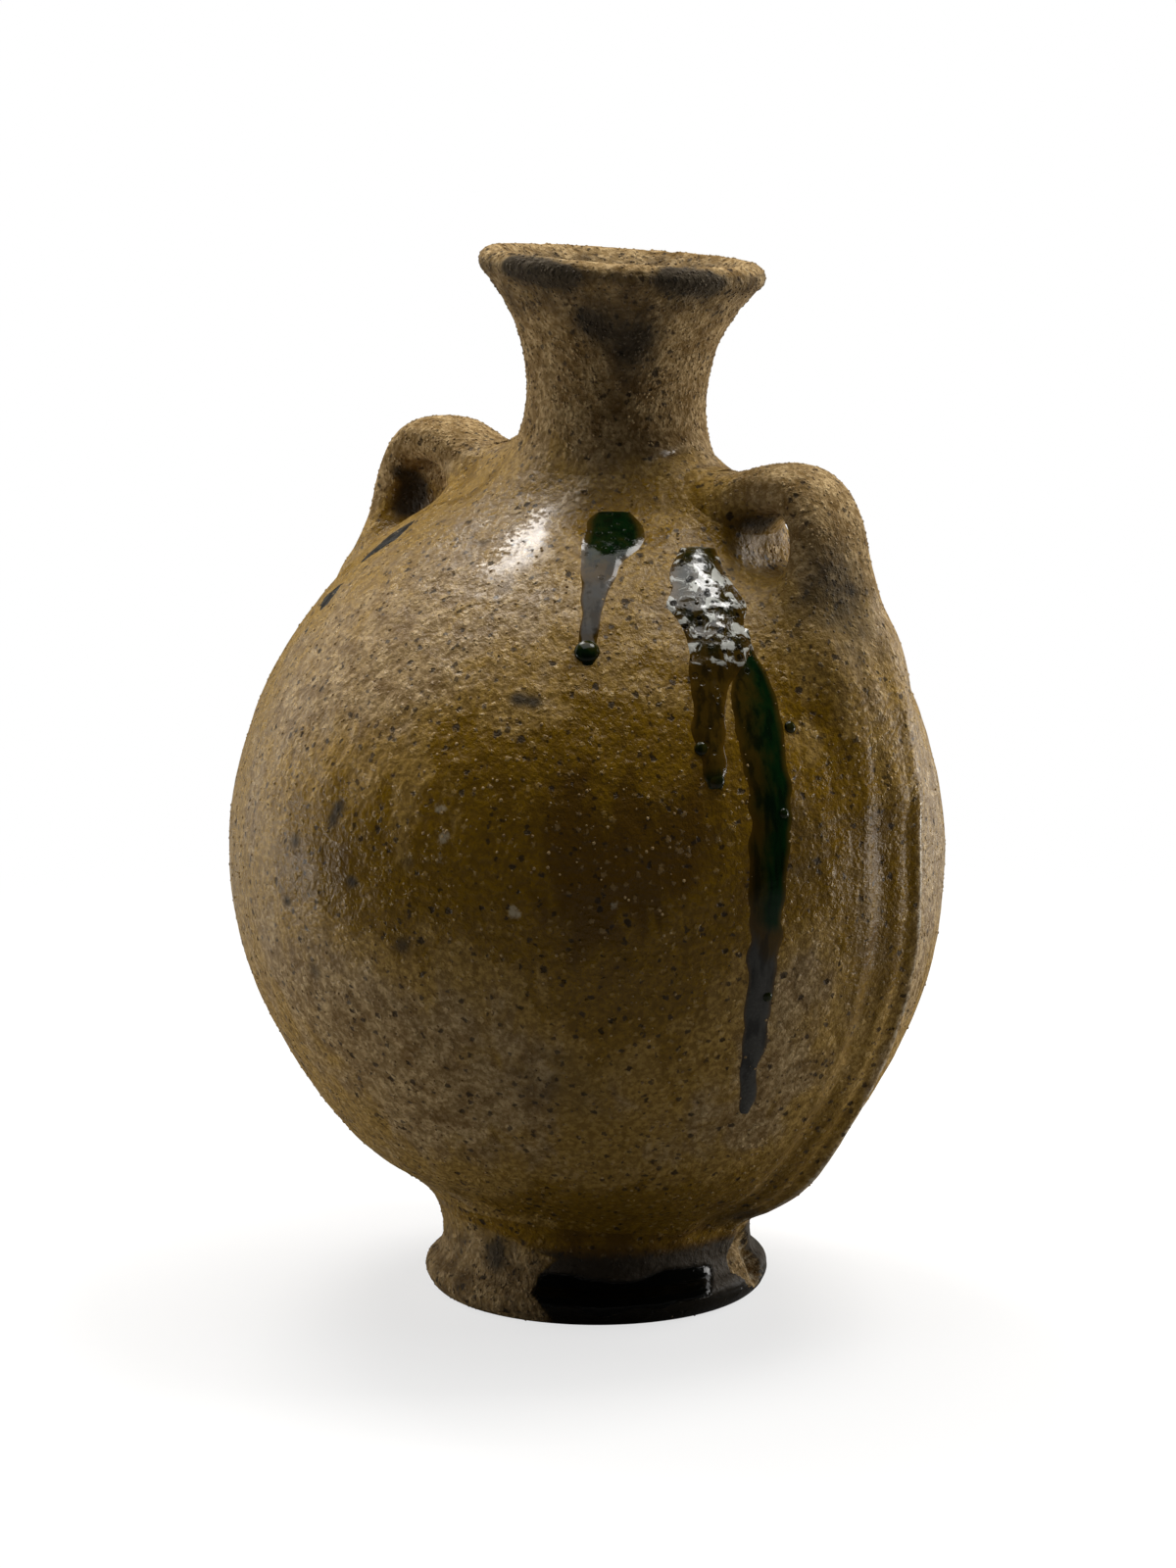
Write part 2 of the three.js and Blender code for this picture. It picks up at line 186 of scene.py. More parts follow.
# Kneading: height, size and seed of the lumps, and how far they are sunk to stay inside the CAD shape.
KNEADING = ((0.3 * MM, 0.022, 1), (0.14 * MM, 0.007, 2))
SUNK = 0.8
# Bands along the bowls' joint, a crest of wear with a painted highlight line and a valley of pooled amber with
# painted shade: their middle and width across it.
CREST_WEAR_AND_HIGHLIGHT = (5 * MM, 1.1 * MM)
VALLEY_GLAZE_AND_SHADE = (-9 * MM, 12 * MM)
# Turning marks in metres: pitch, depth, start and finish along the axis, wander.
FRONT_MARKS = (0.0062, 0.00012, 0.002, 0.1, 0.006)
REAR_MARKS = (0.0042, 0.00055, 0.003, 0.06, 0.002)
FOOT_MARKS = (0.0042, 0.0002, 0.001, 0.03, 0.001)
# How far a run's underside lies in the clay, and how much deeper it lies under the run's middle.
RUN_ROOT = 0.15 * MM
RUN_BELLY = 0.5 * MM


def smooth(value, low, high):
    """Rises from 0 at low to 1 at high with soft ends."""
    share = np.clip((value - low) / (high - low), 0, 1)
    return share * share * (3 - 2 * share)


def band(value, middle, width, power=2):
    """Falls softly to both sides from 1 at the middle; a higher even power flattens the top."""
    return np.exp(-(((value - middle) / width) ** power))


# --- settings ---


def length(name, description, default):
    """A size in metres."""
    return FloatProperty(name=name, description=description, default=default, min=0, unit="LENGTH", precision=5)


def turn(name, description, degrees):
    """An angle."""
    return FloatProperty(name=name, description=description, default=math.radians(degrees), subtype="ANGLE")


def number(name, description, default):
    """A plain number."""
    return FloatProperty(name=name, description=description, default=default)


def watts(name, description, default):
    """A lamp's power."""
    return FloatProperty(name=name, description=description, default=default, min=0, unit="POWER")


def colour(name, description, default):
    """A colour in linear light."""
    limits = {"min": 0, "max": 1}
    return FloatVectorProperty(name=name, description=description, default=default, subtype="COLOR", **limits)


class JugBody(bpy.types.PropertyGroup):
    """Sizes of the two bowls."""

    radius: length("Radius", "Radius of the bowls at the joint", 0.104)
    front_depth: length("Front depth", "Depth of the front bowl", 0.106)
    rear_depth: length("Rear depth", "Depth of the rear bowl", 0.088)
    roundness: number("Roundness", "Power of the bowls' superellipse", 1.72)
    wall: length("Wall", "Thickness of the clay", 0.008)
    gap: length("Slip gap", "Half of the slip between the bowls", 0.00015)
    under: length("Under body", "Height of the body's lowest point over the ground", 0.0175)
    lean: turn("Lean", "Lean of the body to the right", 3.3)
    fullness: number("Fullness", "Extra reach of the shoulders", 0.004)
    sag: number("Sag", "Extra width of the settled belly", 0.125)
    sag_level: length("Sag level", "Depth of the sag under the body's middle", 0.096)
    sag_spread: length("Sag spread", "Height of the sag", 0.023)
    ridge_height: length("Ridge height", "Height of the ridge behind the joint", 0.0025)
    ridge_width: length("Ridge width", "Width of the ridge", 0.011)
    valley_depth: length("Valley depth", "Depth of the valley before the joint", 0.0016)
    valley_width: length("Valley width", "Width of the valley", 0.013)
    hollow_depth: length("Hollow depth", "Depth of the thumbed hollow under a loop", 0.005)
    hollow_reach: length("Hollow reach", "Reach of the hollow along the loop's bore", 0.014)
    hollow_angle: turn("Hollow angle", "Reach of the hollow round the body", 9)


class JugNeck(bpy.types.PropertyGroup):
    """Sizes of the neck."""

    radius: length("Radius", "Radius of the neck's straight part", 0.0242)
    height: length("Height", "Height of the neck over the body", 0.0543)
    bore: length("Bore", "Radius of the bore", 0.017)
    lip_radius: length("Lip radius", "Radius of the mouth over the lip", 0.0381)
    lip_roll: length("Lip roll", "Radius of the rolled lip", 0.0039)
    flare: length("Flare", "Height of the trumpet mouth", 0.037)
    tilt: turn("Tilt", "Tilt of the mouth to the right", 2)
    fillet: length("Fillet", "Reach of the slip round the neck's foot", 0.02)


class JugFoot(bpy.types.PropertyGroup):
    """Sizes of the foot ring."""

    flange: length("Flange", "Radius of the flange on the ground", 0.0472)
    roll: length("Roll", "Radius of the flange's rounded edge", 0.0048)
    waist: length("Waist", "Radius of the waist", 0.0425)
    waist_height: length("Waist height", "Height of the waist", 0.0155)
    bore: length("Bore", "Radius of the hollow inside the ring", 0.0345)
    fillet: length("Fillet", "Reach of the slip under the body", 0.01)


class JugHandles(bpy.types.PropertyGroup):
    """Sizes of the loop handles."""

    angle: turn("Angle", "Angle of the loop's crown from the top", 33.5)
    upper_span: turn("Upper span", "Angle from the crown to the upper root", 13.5)
    lower_span: turn("Lower span", "Angle from the crown to the lower root", 16.5)
    root: turn("Root", "Angle of the buried upper root", 2.5)
    tail: turn("Tail", "Angle of the smeared tail", 22)
    right_rise: length("Right rise", "Height of the right loop", 0.017)
    left_rise: length("Left rise", "Height of the left loop", 0.0187)
    thickness: length("Thickness", "Thickness of the strap", 0.0132)
    width: length("Width", "Width of the strap at the crown", 0.024)
    upper_width: length("Upper width", "Width at the upper root", 0.021)
    lower_width: length("Lower width", "Width at the lower root", 0.0305)
    tail_width: length("Tail width", "Width at the end of the tail", 0.011)
    squareness: number("Squareness", "Power of the strap's section", 2.5)
    fillet: length("Fillet", "Reach of the slip round the roots", 0.0172)


class JugFinish(bpy.types.PropertyGroup):
    """Colours of the clay and the glaze."""

    buff: colour("Buff", "Palest clay", (0.42, 0.295, 0.14))
    brown: colour("Brown", "Darker clay", (0.19, 0.118, 0.045))
    ochre: colour("Ochre", "Thinnest glaze", (0.34, 0.21, 0.05))
    # Also used, through the amber value, for painted shade and painted light on the clay.
    honey: colour("Honey", "Thin amber glaze", (0.21, 0.116, 0.006))
    umber: colour("Umber", "Thick amber glaze", (0.1, 0.05, 0.004))
    iron: colour("Iron", "Iron specks in the clay", (0.018, 0.012, 0.008))
    # Also laid on as painted shade in the loops, the mouth, the valley and the foot's waist.
    soot: colour("Soot", "Smoked patches", (0.03, 0.025, 0.018))
    # Also laid on as painted highlight along the crest, at the neck's foot and in small glints.
    chalk_and_highlight: colour("Chalk", "Worn and chipped clay", (0.46, 0.39, 0.27))
    green: colour("Green", "Thick glass of the runs", (0.002, 0.014, 0.003))
    olive: colour("Olive", "Brown glass of the runs", (0.05, 0.028, 0.003))
    # The grey of the runs' ends is partly a painted reflection.
    slate_and_reflection: colour("Slate", "Grey ends of the runs", (0.045, 0.043, 0.038))
    # The pale froth is partly a painted reflection of the lamps.
    froth_and_glare: colour("Froth", "Pale froth of the crusted glaze", (0.62, 0.63, 0.58))
    black: colour("Black", "Thickest glaze, pooled on the foot", (0.0016, 0.0018, 0.0012))
    run_height: length("Run height", "Height of the glaze runs over the clay", 0.0013)


class JugStage(bpy.types.PropertyGroup):
    """Floor, lamps and camera."""

    floor: colour("Floor", "Colour of the floor", (0.92, 0.92, 0.92))
    top_light: watts("Top light", "Power of the lamp overhead", 9)
    high_light: watts("High light", "Power of each high small lamp", 5.5)
    left_light: watts("Left light", "Power of the large lamp on the left", 4)
    right_light: watts("Right light", "Power of the large lamp behind on the right", 8)
    low_light: watts("Low light", "Power of each low small lamp", 2.5)
    azimuth: turn("Azimuth", "The camera's turn from the front to the right", 42)
    distance: length("Distance", "The camera's distance from the jug's axis, over the ground", 0.9315)
    height: length("Height", "The camera's height", 0.28)
    pitch: turn("Pitch", "How far the camera looks down", 8.675)
    yaw: turn("Yaw", "How far the camera looks to the left of the axis", 0.145)


class JugSettings(bpy.types.PropertyGroup):
    """All settings of the jug."""

    body: PointerProperty(type=JugBody)
    neck: PointerProperty(type=JugNeck)
    foot: PointerProperty(type=JugFoot)
    handles: PointerProperty(type=JugHandles)
    finish: PointerProperty(type=JugFinish)
    stage: PointerProperty(type=JugStage)


# --- shapes ---


def middle_height(body):
    """The height of the body's middle over the ground."""
    return body.under + body.radius


def stand(body, points):
    """Leans points of the body's own frame and lifts them to their height over the ground."""
    x, y, z = np.asarray(points).T
    cosine, sine = math.cos(body.lean), math.sin(body.lean)
    return np.column_stack((x * cosine + z * sine, y, z * cosine - x * sine + middle_height(body)))


def settle(jug, radius, angle, along):
    """Points of a bowl after the clay has settled: thrown radius, angle from the top, place along the axis."""
    body, handles = jug.body, jug.handles
    upper = np.abs(angle) < math.pi / 2
    shoulder = 1 + np.where(upper, body.fullness * np.sin(2 * angle) ** 2, 0)
    rear = along > 0
    width = np.where(rear, body.ridge_width, body.valley_width)
    height = np.where(rear, body.ridge_height, -body.valley_depth)
    wave = np.where(np.abs(along) < width, np.sin(math.pi * along / width) ** 2, 0)
    wave = np.where(rear, wave**1.6, wave)
    below_handle = smooth(np.abs(angle), handles.angle, handles.angle + handles.lower_span)
    off_crown = (np.abs(angle) - handles.angle) / body.hollow_angle
    hollow = body.hollow_depth * np.exp(-(off_crown**2) - (along / body.hollow_reach) ** 2)
    near_rim = np.minimum(radius / body.radius, 1) ** 2
    moved = radius * shoulder + near_rim * (height * wave * below_handle - hollow)
    level = moved * np.cos(angle)
    belly = 1 + body.sag * np.exp(-(((level + body.sag_level) / body.sag_spread) ** 2))
    return stand(body, np.column_stack((belly * moved * np.sin(angle), belly * along, level)))


def bowl_outline(body, depth, inset, steps, crowding):
    """Radius and depth of a bowl's wall from its rim to its pole, crowded towards the rim."""
    turned = math.pi / 2 * np.linspace(0, 1, steps + 1) ** crowding
    power = 2 / body.roundness
    reach = (body.radius - inset) * np.clip(np.cos(turned), 0, 1) ** power
    reach[-1] = 0
    return reach, (depth - inset) * np.sin(turned) ** power


def grid_faces(rows, columns):
    """Faces of a grid that closes on itself across its columns."""
    first = (np.arange(rows - 1)[:, None] * columns + np.arange(columns)[None, :]).ravel()
    after = (np.arange(rows - 1)[:, None] * columns + (np.arange(columns)[None, :] + 1) % columns).ravel()
    return np.column_stack((first, after, after + columns, first + columns))


def bowl_surface(jug, front, steps, columns, inner_steps):
    """Points and faces of a bowl: its outside to the rim, a lap under the other bowl, and its inside."""
    body = jug.body
    depth = body.front_depth if front else body.rear_depth
    reach, along = bowl_outline(body, depth, 0, steps, 1.35)
    lap, sunk = (np.array(part) * MM for part in ((0.5, 1.2, 2.0, 2.0), (0.03, 0.15, 0.5, 4.0)))
    inner_reach, inner_along = bowl_outline(body, depth, body.wall, inner_steps, 1.2)
    reach = np.concatenate((reach[::-1], body.radius - sunk, inner_reach))
    along = np.concatenate((along[::-1], -lap, np.maximum(inner_along, body.gap)))
    side = -1 if front else 1
    angle = np.linspace(-math.pi, math.pi, columns, endpoint=False)
    radii = np.repeat(reach, columns)
    depths = side * np.repeat(along, columns)
    points = settle(jug, radii, np.tile(angle, len(reach)), depths)
    return points, grid_faces(len(reach), columns)


def curve(points, steps):
    """Points on the Bezier curve that the control points give."""
    share = np.linspace(0, 1, steps + 1)[:, None]
    degree = len(points) - 1
    total = np.zeros((steps + 1, 2))
    for index, point in enumerate(points):
        weight = math.comb(degree, index) * share**index * (1 - share) ** (degree - index)
        total += weight * np.array(point)
    return total


def arc(centre, radius, first, last, steps):
    """Points on an arc, its angles in degrees."""
    angle = np.radians(np.linspace(first, last, steps + 1))
    return np.column_stack((centre[0] + radius * np.cos(angle), centre[1] + radius * np.sin(angle)))


def turned_surface(outline, columns):
    """Points and faces of a closed outline of radius and height, turned about the upright axis."""
    angle = np.linspace(-math.pi, math.pi, columns, endpoint=False)
    radius = np.repeat(outline[:, 0], columns)
    height = np.repeat(outline[:, 1], columns)
    around = np.tile(angle, len(outline))
    points = np.column_stack((radius * np.sin(around), -radius * np.cos(around), height))
    faces = grid_faces(len(outline), columns)
    closing = faces[:columns].copy()
    closing[:, :2] += (len(outline) - 1) * columns
    closing[:, 2:] -= columns
    return points, np.concatenate((faces, closing))


def neck_surface(jug, fineness, columns):
    """Points and faces of the neck, from inside the body's wall to the lip and down the bore."""
    body, neck = jug.body, jug.neck
    top = body.radius + neck.height
    flare_foot = top - neck.flare
    buried = body.radius - 2 * body.wall
    lip = (neck.lip_radius - neck.lip_roll, top - neck.lip_roll)
    lip_arc = arc(lip, neck.lip_roll, -45, 135, 3 * fineness)
    lead = neck.flare / 5
    under = lip_arc[0]
    flare = (
        (neck.radius, flare_foot),
        (neck.radius, flare_foot + neck.flare / 3),
        (under[0] - lead, under[1] - lead),
        tuple(under),
    )
    mouth = (tuple(lip_arc[-1]), (neck.bore + 1.5 * MM, lip[1] - neck.lip_roll), (neck.bore, flare_foot))
    outline = np.concatenate(
        (
            curve(((neck.bore, buried), (neck.radius, buried)), 4)[:-1],
            curve(((neck.radius, buried), (neck.radius, flare_foot)), 5 * fineness)[:-1],
            curve(flare, 6 * fineness)[:-1],
            lip_arc[:-1],
            curve(mouth, 4 * fineness)[:-1],
            curve(((neck.bore, flare_foot), (neck.bore, buried)), 2 * fineness)[:-1],
        )
    )
    points, faces = turned_surface(outline, columns)
    share = np.clip((points[:, 2] - flare_foot) / neck.flare, 0, 1)
    points[:, 2] -= math.tan(neck.tilt) * share * points[:, 0]
    return stand(body, points), faces


def foot_surface(jug, fineness, columns):
    """Points and faces of the foot ring, from the ground round the flange and up into the body's wall."""
    foot = jug.foot
    centre = (foot.flange - foot.roll, foot.roll)
    rolled = arc(centre, foot.roll, -90, 45, 3 * fineness)
    end = rolled[-1]
    lead = 2 * MM
    rise = (
        tuple(end),
        (end[0] - lead, end[1] + lead),
        (foot.waist, foot.waist_height - 3 * lead),
        (foot.waist, foot.waist_height),
    )
    top = (foot.waist + 3 * MM, foot.waist_height + 28 * MM)
    neckline = ((foot.waist, foot.waist_height), (foot.waist, foot.waist_height + 9 * MM), top)
    inner_top = (foot.bore, top[1])
    outline = np.concatenate(
        (
            curve(((foot.bore + 0.8 * MM, 0), (centre[0], 0)), 4)[:-1],
            rolled[:-1],
            curve(rise, 3 * fineness)[:-1],
            curve(neckline, 4 * fineness)[:-1],
            curve((top, inner_top), 4)[:-1],
            curve((inner_top, (foot.bore, 0.8 * MM)), 3 * fineness),
        )
    )
    return turned_surface(outline, columns)


def strap_surface(jug, side, rows, sides):
    """Points and faces of a loop handle, from its buried upper root over the loop to its buried tail."""
    body, handles = jug.body, jug.handles
    rise = handles.right_rise if side > 0 else handles.left_rise
    first = handles.angle - handles.upper_span - handles.root
    last = handles.angle + handles.lower_span + handles.tail
    angle = np.linspace(first, last, rows)
    from_crown = angle - handles.angle
    upper = from_crown < 0
    span = np.where(upper, handles.upper_span, handles.lower_span)
    past = np.maximum(np.abs(from_crown) - span, 0)
    share = np.minimum(np.abs(from_crown) / span, 1)
    ending = smooth(past, 0, np.where(upper, handles.root, handles.tail))
    sink = np.where(upper, body.wall, 7 * MM)
    height = rise * np.cos(share * math.pi / 2) ** 2 - sink * ending
    spread = smooth(share, 0.3, 1)
    root_width = np.where(upper, handles.upper_width, handles.lower_width)
    end_width = np.where(upper, handles.upper_width, handles.tail_width)
    width = handles.width + (root_width - handles.width) * spread
    width = width + (end_width - width) * ending
    thickness = handles.thickness * (1 - 0.15 * ending)
    reach = body.radius * (1 + body.fullness * np.sin(2 * angle) ** 2) + height
    centre = np.column_stack((reach * np.sin(angle), reach * np.cos(angle)))
    along = np.gradient(centre, axis=0)
    along /= np.linalg.norm(along, axis=1)[:, None]
    outward = np.column_stack((-along[:, 1], along[:, 0]))
    around = np.linspace(0, 2 * math.pi, sides, endpoint=False)
    power = 2 / handles.squareness
    across = np.sign(np.cos(around)) * np.abs(np.cos(around)) ** power
    up = np.sign(np.sin(around)) * np.abs(np.sin(around)) ** power
    flat = centre[:, None, :] + outward[:, None, :] * (thickness[:, None] * up[None, :] / 2)[:, :, None]
    depth = width[:, None] * across[None, :] / 2
    points = np.column_stack((side * flat[:, :, 0].ravel(), depth.ravel(), flat[:, :, 1].ravel()))
    ends = np.concatenate((points[:sides].mean(0)[None], points[-sides:].mean(0)[None]))
    points = np.concatenate((np.tile(ends[0], (sides, 1)), points, np.tile(ends[1], (sides, 1))))
    return stand(body, points), grid_faces(rows + 2, sides)


def search_tree(*meshes):
    """A search tree over meshes."""
    work = bmesh.new()
    for mesh in meshes:
        work.from_mesh(mesh)
    tree = BVHTree.FromBMesh(work)
    work.free()
    return tree


def tree_of(*surfaces):
    """A search tree over the given surfaces, whose faces point outwards."""
    points, faces, count = [], [], 0
    for surface_points, surface_faces in surfaces:
        points.append(surface_points)
        faces.append(surface_faces + count)
        count += len(surface_points)
    mesh = plain_mesh("search", np.concatenate(points), np.concatenate(faces))
    tree = search_tree(mesh)
    bpy.data.meshes.remove(mesh)
    return tree


TREES = {}


def plain_trees(jug):
    """Search trees over the plain pieces and over all of them together, built once."""
    if not TREES:
        right, left = strap_surface(jug, 1, 120, 48), strap_surface(jug, -1, 120, 48)
        neck, foot = neck_surface(jug, 6, 96), foot_surface(jug, 6, 96)
        body = body_surface(jug)
        TREES.update(body=tree_of(body), neck=tree_of(neck), foot=tree_of(foot))
        TREES.update(right=tree_of(right), left=tree_of(left), all=tree_of(body, neck, foot, right, left))
    return TREES


def body_surface(jug):
    """Points and faces of the plain outside of the body, from pole to pole."""
    body = jug.body
    front_reach, front_along = bowl_outline(body, body.front_depth, 0, 90, 1.35)
    rear_reach, rear_along = bowl_outline(body, body.rear_depth, 0, 90, 1.35)
    reach = np.concatenate((front_reach[::-1], rear_reach[1:]))
    along = np.concatenate((-front_along[::-1], rear_along[1:]))
    columns = 180
    angle = np.tile(np.linspace(-math.pi, math.pi, columns, endpoint=False), len(reach))
    points = settle(jug, np.repeat(reach, columns), angle, np.repeat(along, columns))
    return points, grid_faces(len(reach), columns)


def plain_mesh(name, points, faces):
    """A mesh with its doubles merged, its faces outward and its shading smooth."""
    mesh = bpy.data.meshes.new(name)
    mesh.from_pydata(points.tolist(), [], faces.tolist())
    work = bmesh.new()
    work.from_mesh(mesh)
    bmesh.ops.remove_doubles(work, verts=work.verts, dist=2e-6)
    bmesh.ops.dissolve_degenerate(work, edges=work.edges, dist=1e-7)
    bmesh.ops.recalc_face_normals(work, faces=work.faces)
    work.to_mesh(mesh)
    work.free()
    mesh.shade_smooth()
    return mesh


def vertex_places(mesh):
    """The places and the normals of a mesh's vertices."""
    places = np.zeros(len(mesh.vertices) * 3)
    mesh.vertices.foreach_get("co", places)
    normals = np.zeros(len(mesh.vertices) * 3)
    mesh.vertex_normals.foreach_get("vector", normals)
    return places.reshape(-1, 3), normals.reshape(-1, 3)


def move_vertices(mesh, places):
    """Puts a mesh's vertices at new places."""
    mesh.vertices.foreach_set("co", np.ascontiguousarray(places).ravel())
    mesh.update()


def distances(places, tree, reach):
    """Signed distances to a surface, negative inside it, and the surface's normals; far points give reach.

    A point that lies off a sharp edge, not straight under a face, is outside.
    """
    found = np.full(len(places), reach)
    facing = np.zeros((len(places), 3))
    for index, place in enumerate(places):
        point = Vector(place)
        spot, normal, _, gap = tree.find_nearest(point, reach)
        if spot is not None:
            found[index] = -gap if (point - spot).dot(normal) < -0.5 * gap else gap
            facing[index] = normal
    return found, facing


def lumps(places, size, seed):
    """Soft random lumps between about -1 and 1, of the given size."""
    shift = Vector((seed * 7.3, seed * 3.1, seed * 5.7))
    falloff, lacunarity, octaves = 1.0, 2.0, 3
    moved = (Vector(place) / size + shift for place in places)
    return np.array([noise.fractal(place, falloff, lacunarity, octaves) for place in moved])


def lute(mesh, own, neighbours, skip=None, ridge=None):
    """Smears a piece's clay on to its neighbours: its skin moves on to the smooth union of both shapes.

    On a ridge, given from 0 to 1 for each vertex, the clay moves straight out, so that its flanks do not fold.
    """
    places, normals = vertex_places(mesh)
    depth, facing = distances(places, own, SEARCH)
    skin = depth > -SKIN
    if skip is not None:
        skin &= ~skip
    at_edge = np.einsum("ij,ij->i", normals, facing) < EDGE_COSINE
    normals = np.where(at_edge[:, None], facing, normals)
    if ridge is not None:
        normals[:, 1] *= 1 - ridge
        normals /= np.maximum(np.linalg.norm(normals, axis=1), 0.1)[:, None]
    for tree, reach in neighbours:
        gap, _ = distances(places, tree, reach)
        near = np.where((gap < reach) & skin)[0]
        first, _ = distances(places[near], own, reach)
        shift = np.zeros(len(near))
        for _ in range(PASSES):
            spots = places[near] + normals[near] * shift[:, None]
            own_gap, _ = distances(spots, own, 2 * reach)
            other_gap, _ = distances(spots, tree, 2 * reach)
            own_gap -= first
            blend = np.maximum(1 - np.abs(own_gap - other_gap) / reach, 0)
            level = np.minimum(own_gap, other_gap) - blend**2 * reach / 4
            shift = np.clip(shift - level, 0, reach / 3)
        hidden = np.clip((own_gap - other_gap) * TUCK_SHARE, 0, TUCK_MOST)
        places[near] += normals[near] * (shift - hidden)[:, None]
    move_vertices(mesh, places)


def bury(mesh, tree):
    """Keeps what is buried in a neighbour's wall near its surface."""
    places, _ = vertex_places(mesh)
    gap, facing = distances(places, tree, 0.05)
    deep = np.where(gap < 0, np.maximum(-BURIED - gap, 0), 0)
    move_vertices(mesh, places + facing * deep[:, None])


def knead(mesh, hold=1.0):
    """Gives a piece the soft unevenness of hand work; the same lumps run on across the joints."""
    places, normals = vertex_places(mesh)
    lift = sum(height * (lumps(places, size, seed) - SUNK) for height, size, seed in KNEADING)
    move_vertices(mesh, places + normals * (lift * hold)[:, None])


def paint(mesh, name, values):
    """Keeps a value for each vertex as a named attribute, for the materials."""
    layer = mesh.attributes.new(name, "FLOAT", "POINT")
    layer.data.foreach_set("value", np.asarray(values, dtype=np.float32))


def new_object(name, mesh):
    """An object of a mesh, in the scene."""
    piece = bpy.data.objects.new(name, mesh)
    bpy.context.scene.collection.objects.link(piece)
    return piece


def baked(piece):
    """Applies a piece's modifiers, so that it is a plain mesh."""
    bpy.context.view_layer.update()
    evaluated = piece.evaluated_get(bpy.context.evaluated_depsgraph_get())
    mesh = bpy.data.meshes.new_from_object(evaluated)
    plain = piece.data
    piece.modifiers.clear()
    piece.data = mesh
    bpy.data.meshes.remove(plain)
    mesh.name = piece.name


def deliver(piece, node=None):
    """Hands a finished piece to the frame."""
    if not piece.data.polygons:
        raise RuntimeError(f"{piece.name} came out empty")
    places, _ = vertex_places(piece.data)
    move_vertices(piece.data, np.clip(places, *np.array(CAD_BOX)))
    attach(piece, BODY)
    if node:
        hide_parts(node)


# --- the photograph's camera ---


def camera_matrix(stage):
    """The camera's place and direction."""
    azimuth, yaw = stage.azimuth, stage.azimuth + stage.yaw
    place = Vector((stage.distance * math.sin(azimuth), -stage.distance * math.cos(azimuth), stage.height))
    ahead = Vector((-math.sin(yaw), math.cos(yaw), -math.tan(stage.pitch))).normalized()
    right = ahead.cross(Vector((0, 0, 1))).normalized()
    above = right.cross(ahead)
    turned = Matrix((right, above, -ahead)).transposed()
    return Matrix.Translation(place) @ turned.to_4x4()


def sight(stage, x, y):
    """The camera's place and the direction of a pixel of the photograph."""
    matrix = camera_matrix(stage)
    local = Vector((x - PHOTO_WIDTH / 2, PHOTO_HEIGHT / 2 - y, -PHOTO_FOCAL)).normalized()
    return matrix.translation, (matrix.to_3x3() @ local).normalized()


def seen_place(stage, tree, x, y):
    """The point of a surface, and its normal, that a pixel of the photograph shows.

    A pixel beside the surface gives the nearest point.
    """
    origin, ahead = sight(stage, x, y)
    spot, normal, _, _ = tree.ray_cast(origin, ahead)
    if spot is None:
        aim = origin + ahead * stage.distance
        spot, normal, _, _ = tree.find_nearest(aim)
    return spot, normal


def spot_values(stage, tree, places, spots):
    """The sum of soft spots at each place."""
    total = np.zeros(len(places))
    for x, y, radius, strength in spots:
        middle, _ = seen_place(stage, tree, x, y)
        away = np.linalg.norm(places - np.array(middle), axis=1) / (radius * MM)
        total += strength * np.exp(-(away**2))
    return total


# --- node trees ---


class Wire:
    """A socket of a node tree with Python's arithmetic."""

    def __init__(self, bench, socket):
        self.bench = bench
        self.socket = socket

    def _math(self, operation, first, second):
        return self.bench.node("ShaderNodeMath", {"operation": operation}, {0: first, 1: second})

    def __add__(self, other):
        return self._math("ADD", self, other)

    __radd__ = __add__

    def __sub__(self, other):
        return self._math("SUBTRACT", self, other)

    def __rsub__(self, other):
        return self._math("SUBTRACT", other, self)

    def __mul__(self, other):
        return self._math("MULTIPLY", self, other)

    __rmul__ = __mul__

    def __truediv__(self, other):
        return self._math("DIVIDE", self, other)

    def __pow__(self, other):
        return self._math("POWER", self, other)

    def most(self, other):
        """The larger of two values."""
        return self._math("MAXIMUM", self, other)

    def least(self, other):
        """The smaller of two values."""
        return self._math("MINIMUM", self, other)

    def sine(self):
        """The sine of the value."""
        return self._math("SINE", self, 0)

    def rise(self, low, high):
        """Rises from 0 at low to 1 at high with soft ends; high may lie under low."""
        settings = {"interpolation_type": "SMOOTHSTEP"}
        if isinstance(low, float) and isinstance(high, float) and high < low:
            return 1 - self.rise(high, low)
        sockets = {"Value": self, "From Min": low, "From Max": high}
        return self.bench.node("ShaderNodeMapRange", settings, sockets)


class Bench:
    """Adds nodes to one tree."""

    def __init__(self, tree):
        self.tree = tree

    def node(self, kind, settings=None, inputs=None, output=0):
        """A node of a type, with its settings made first and its sockets filled or linked; gives an output."""
        node = self.tree.nodes.new(kind)
        for name, value in (settings or {}).items():
            setattr(node, name, value)
        for key, value in (inputs or {}).items():
            if isinstance(value, Wire):
                self.tree.links.new(value.socket, node.inputs[key])
            else:
                node.inputs[key].default_value = value
        return Wire(self, node.outputs[output])

    def vector(self, operation, first, second, output=0):
        """A Vector Math node; SCALE takes a number second."""
        place = 3 if operation == "SCALE" else 1
        return self.node("ShaderNodeVectorMath", {"operation": operation}, {0: first, place: second}, output)

    def noise(self, place, size, detail=3.0, roughness=0.55, bend=0.0):
        """Cloudy noise of a size in the units of place."""
        sockets = {"Vector": place, "Scale": 1 / size, "Detail": detail}
        sockets |= {"Roughness": roughness, "Distortion": bend}
        return self.node("ShaderNodeTexNoise", {"noise_dimensions": "3D"}, sockets)


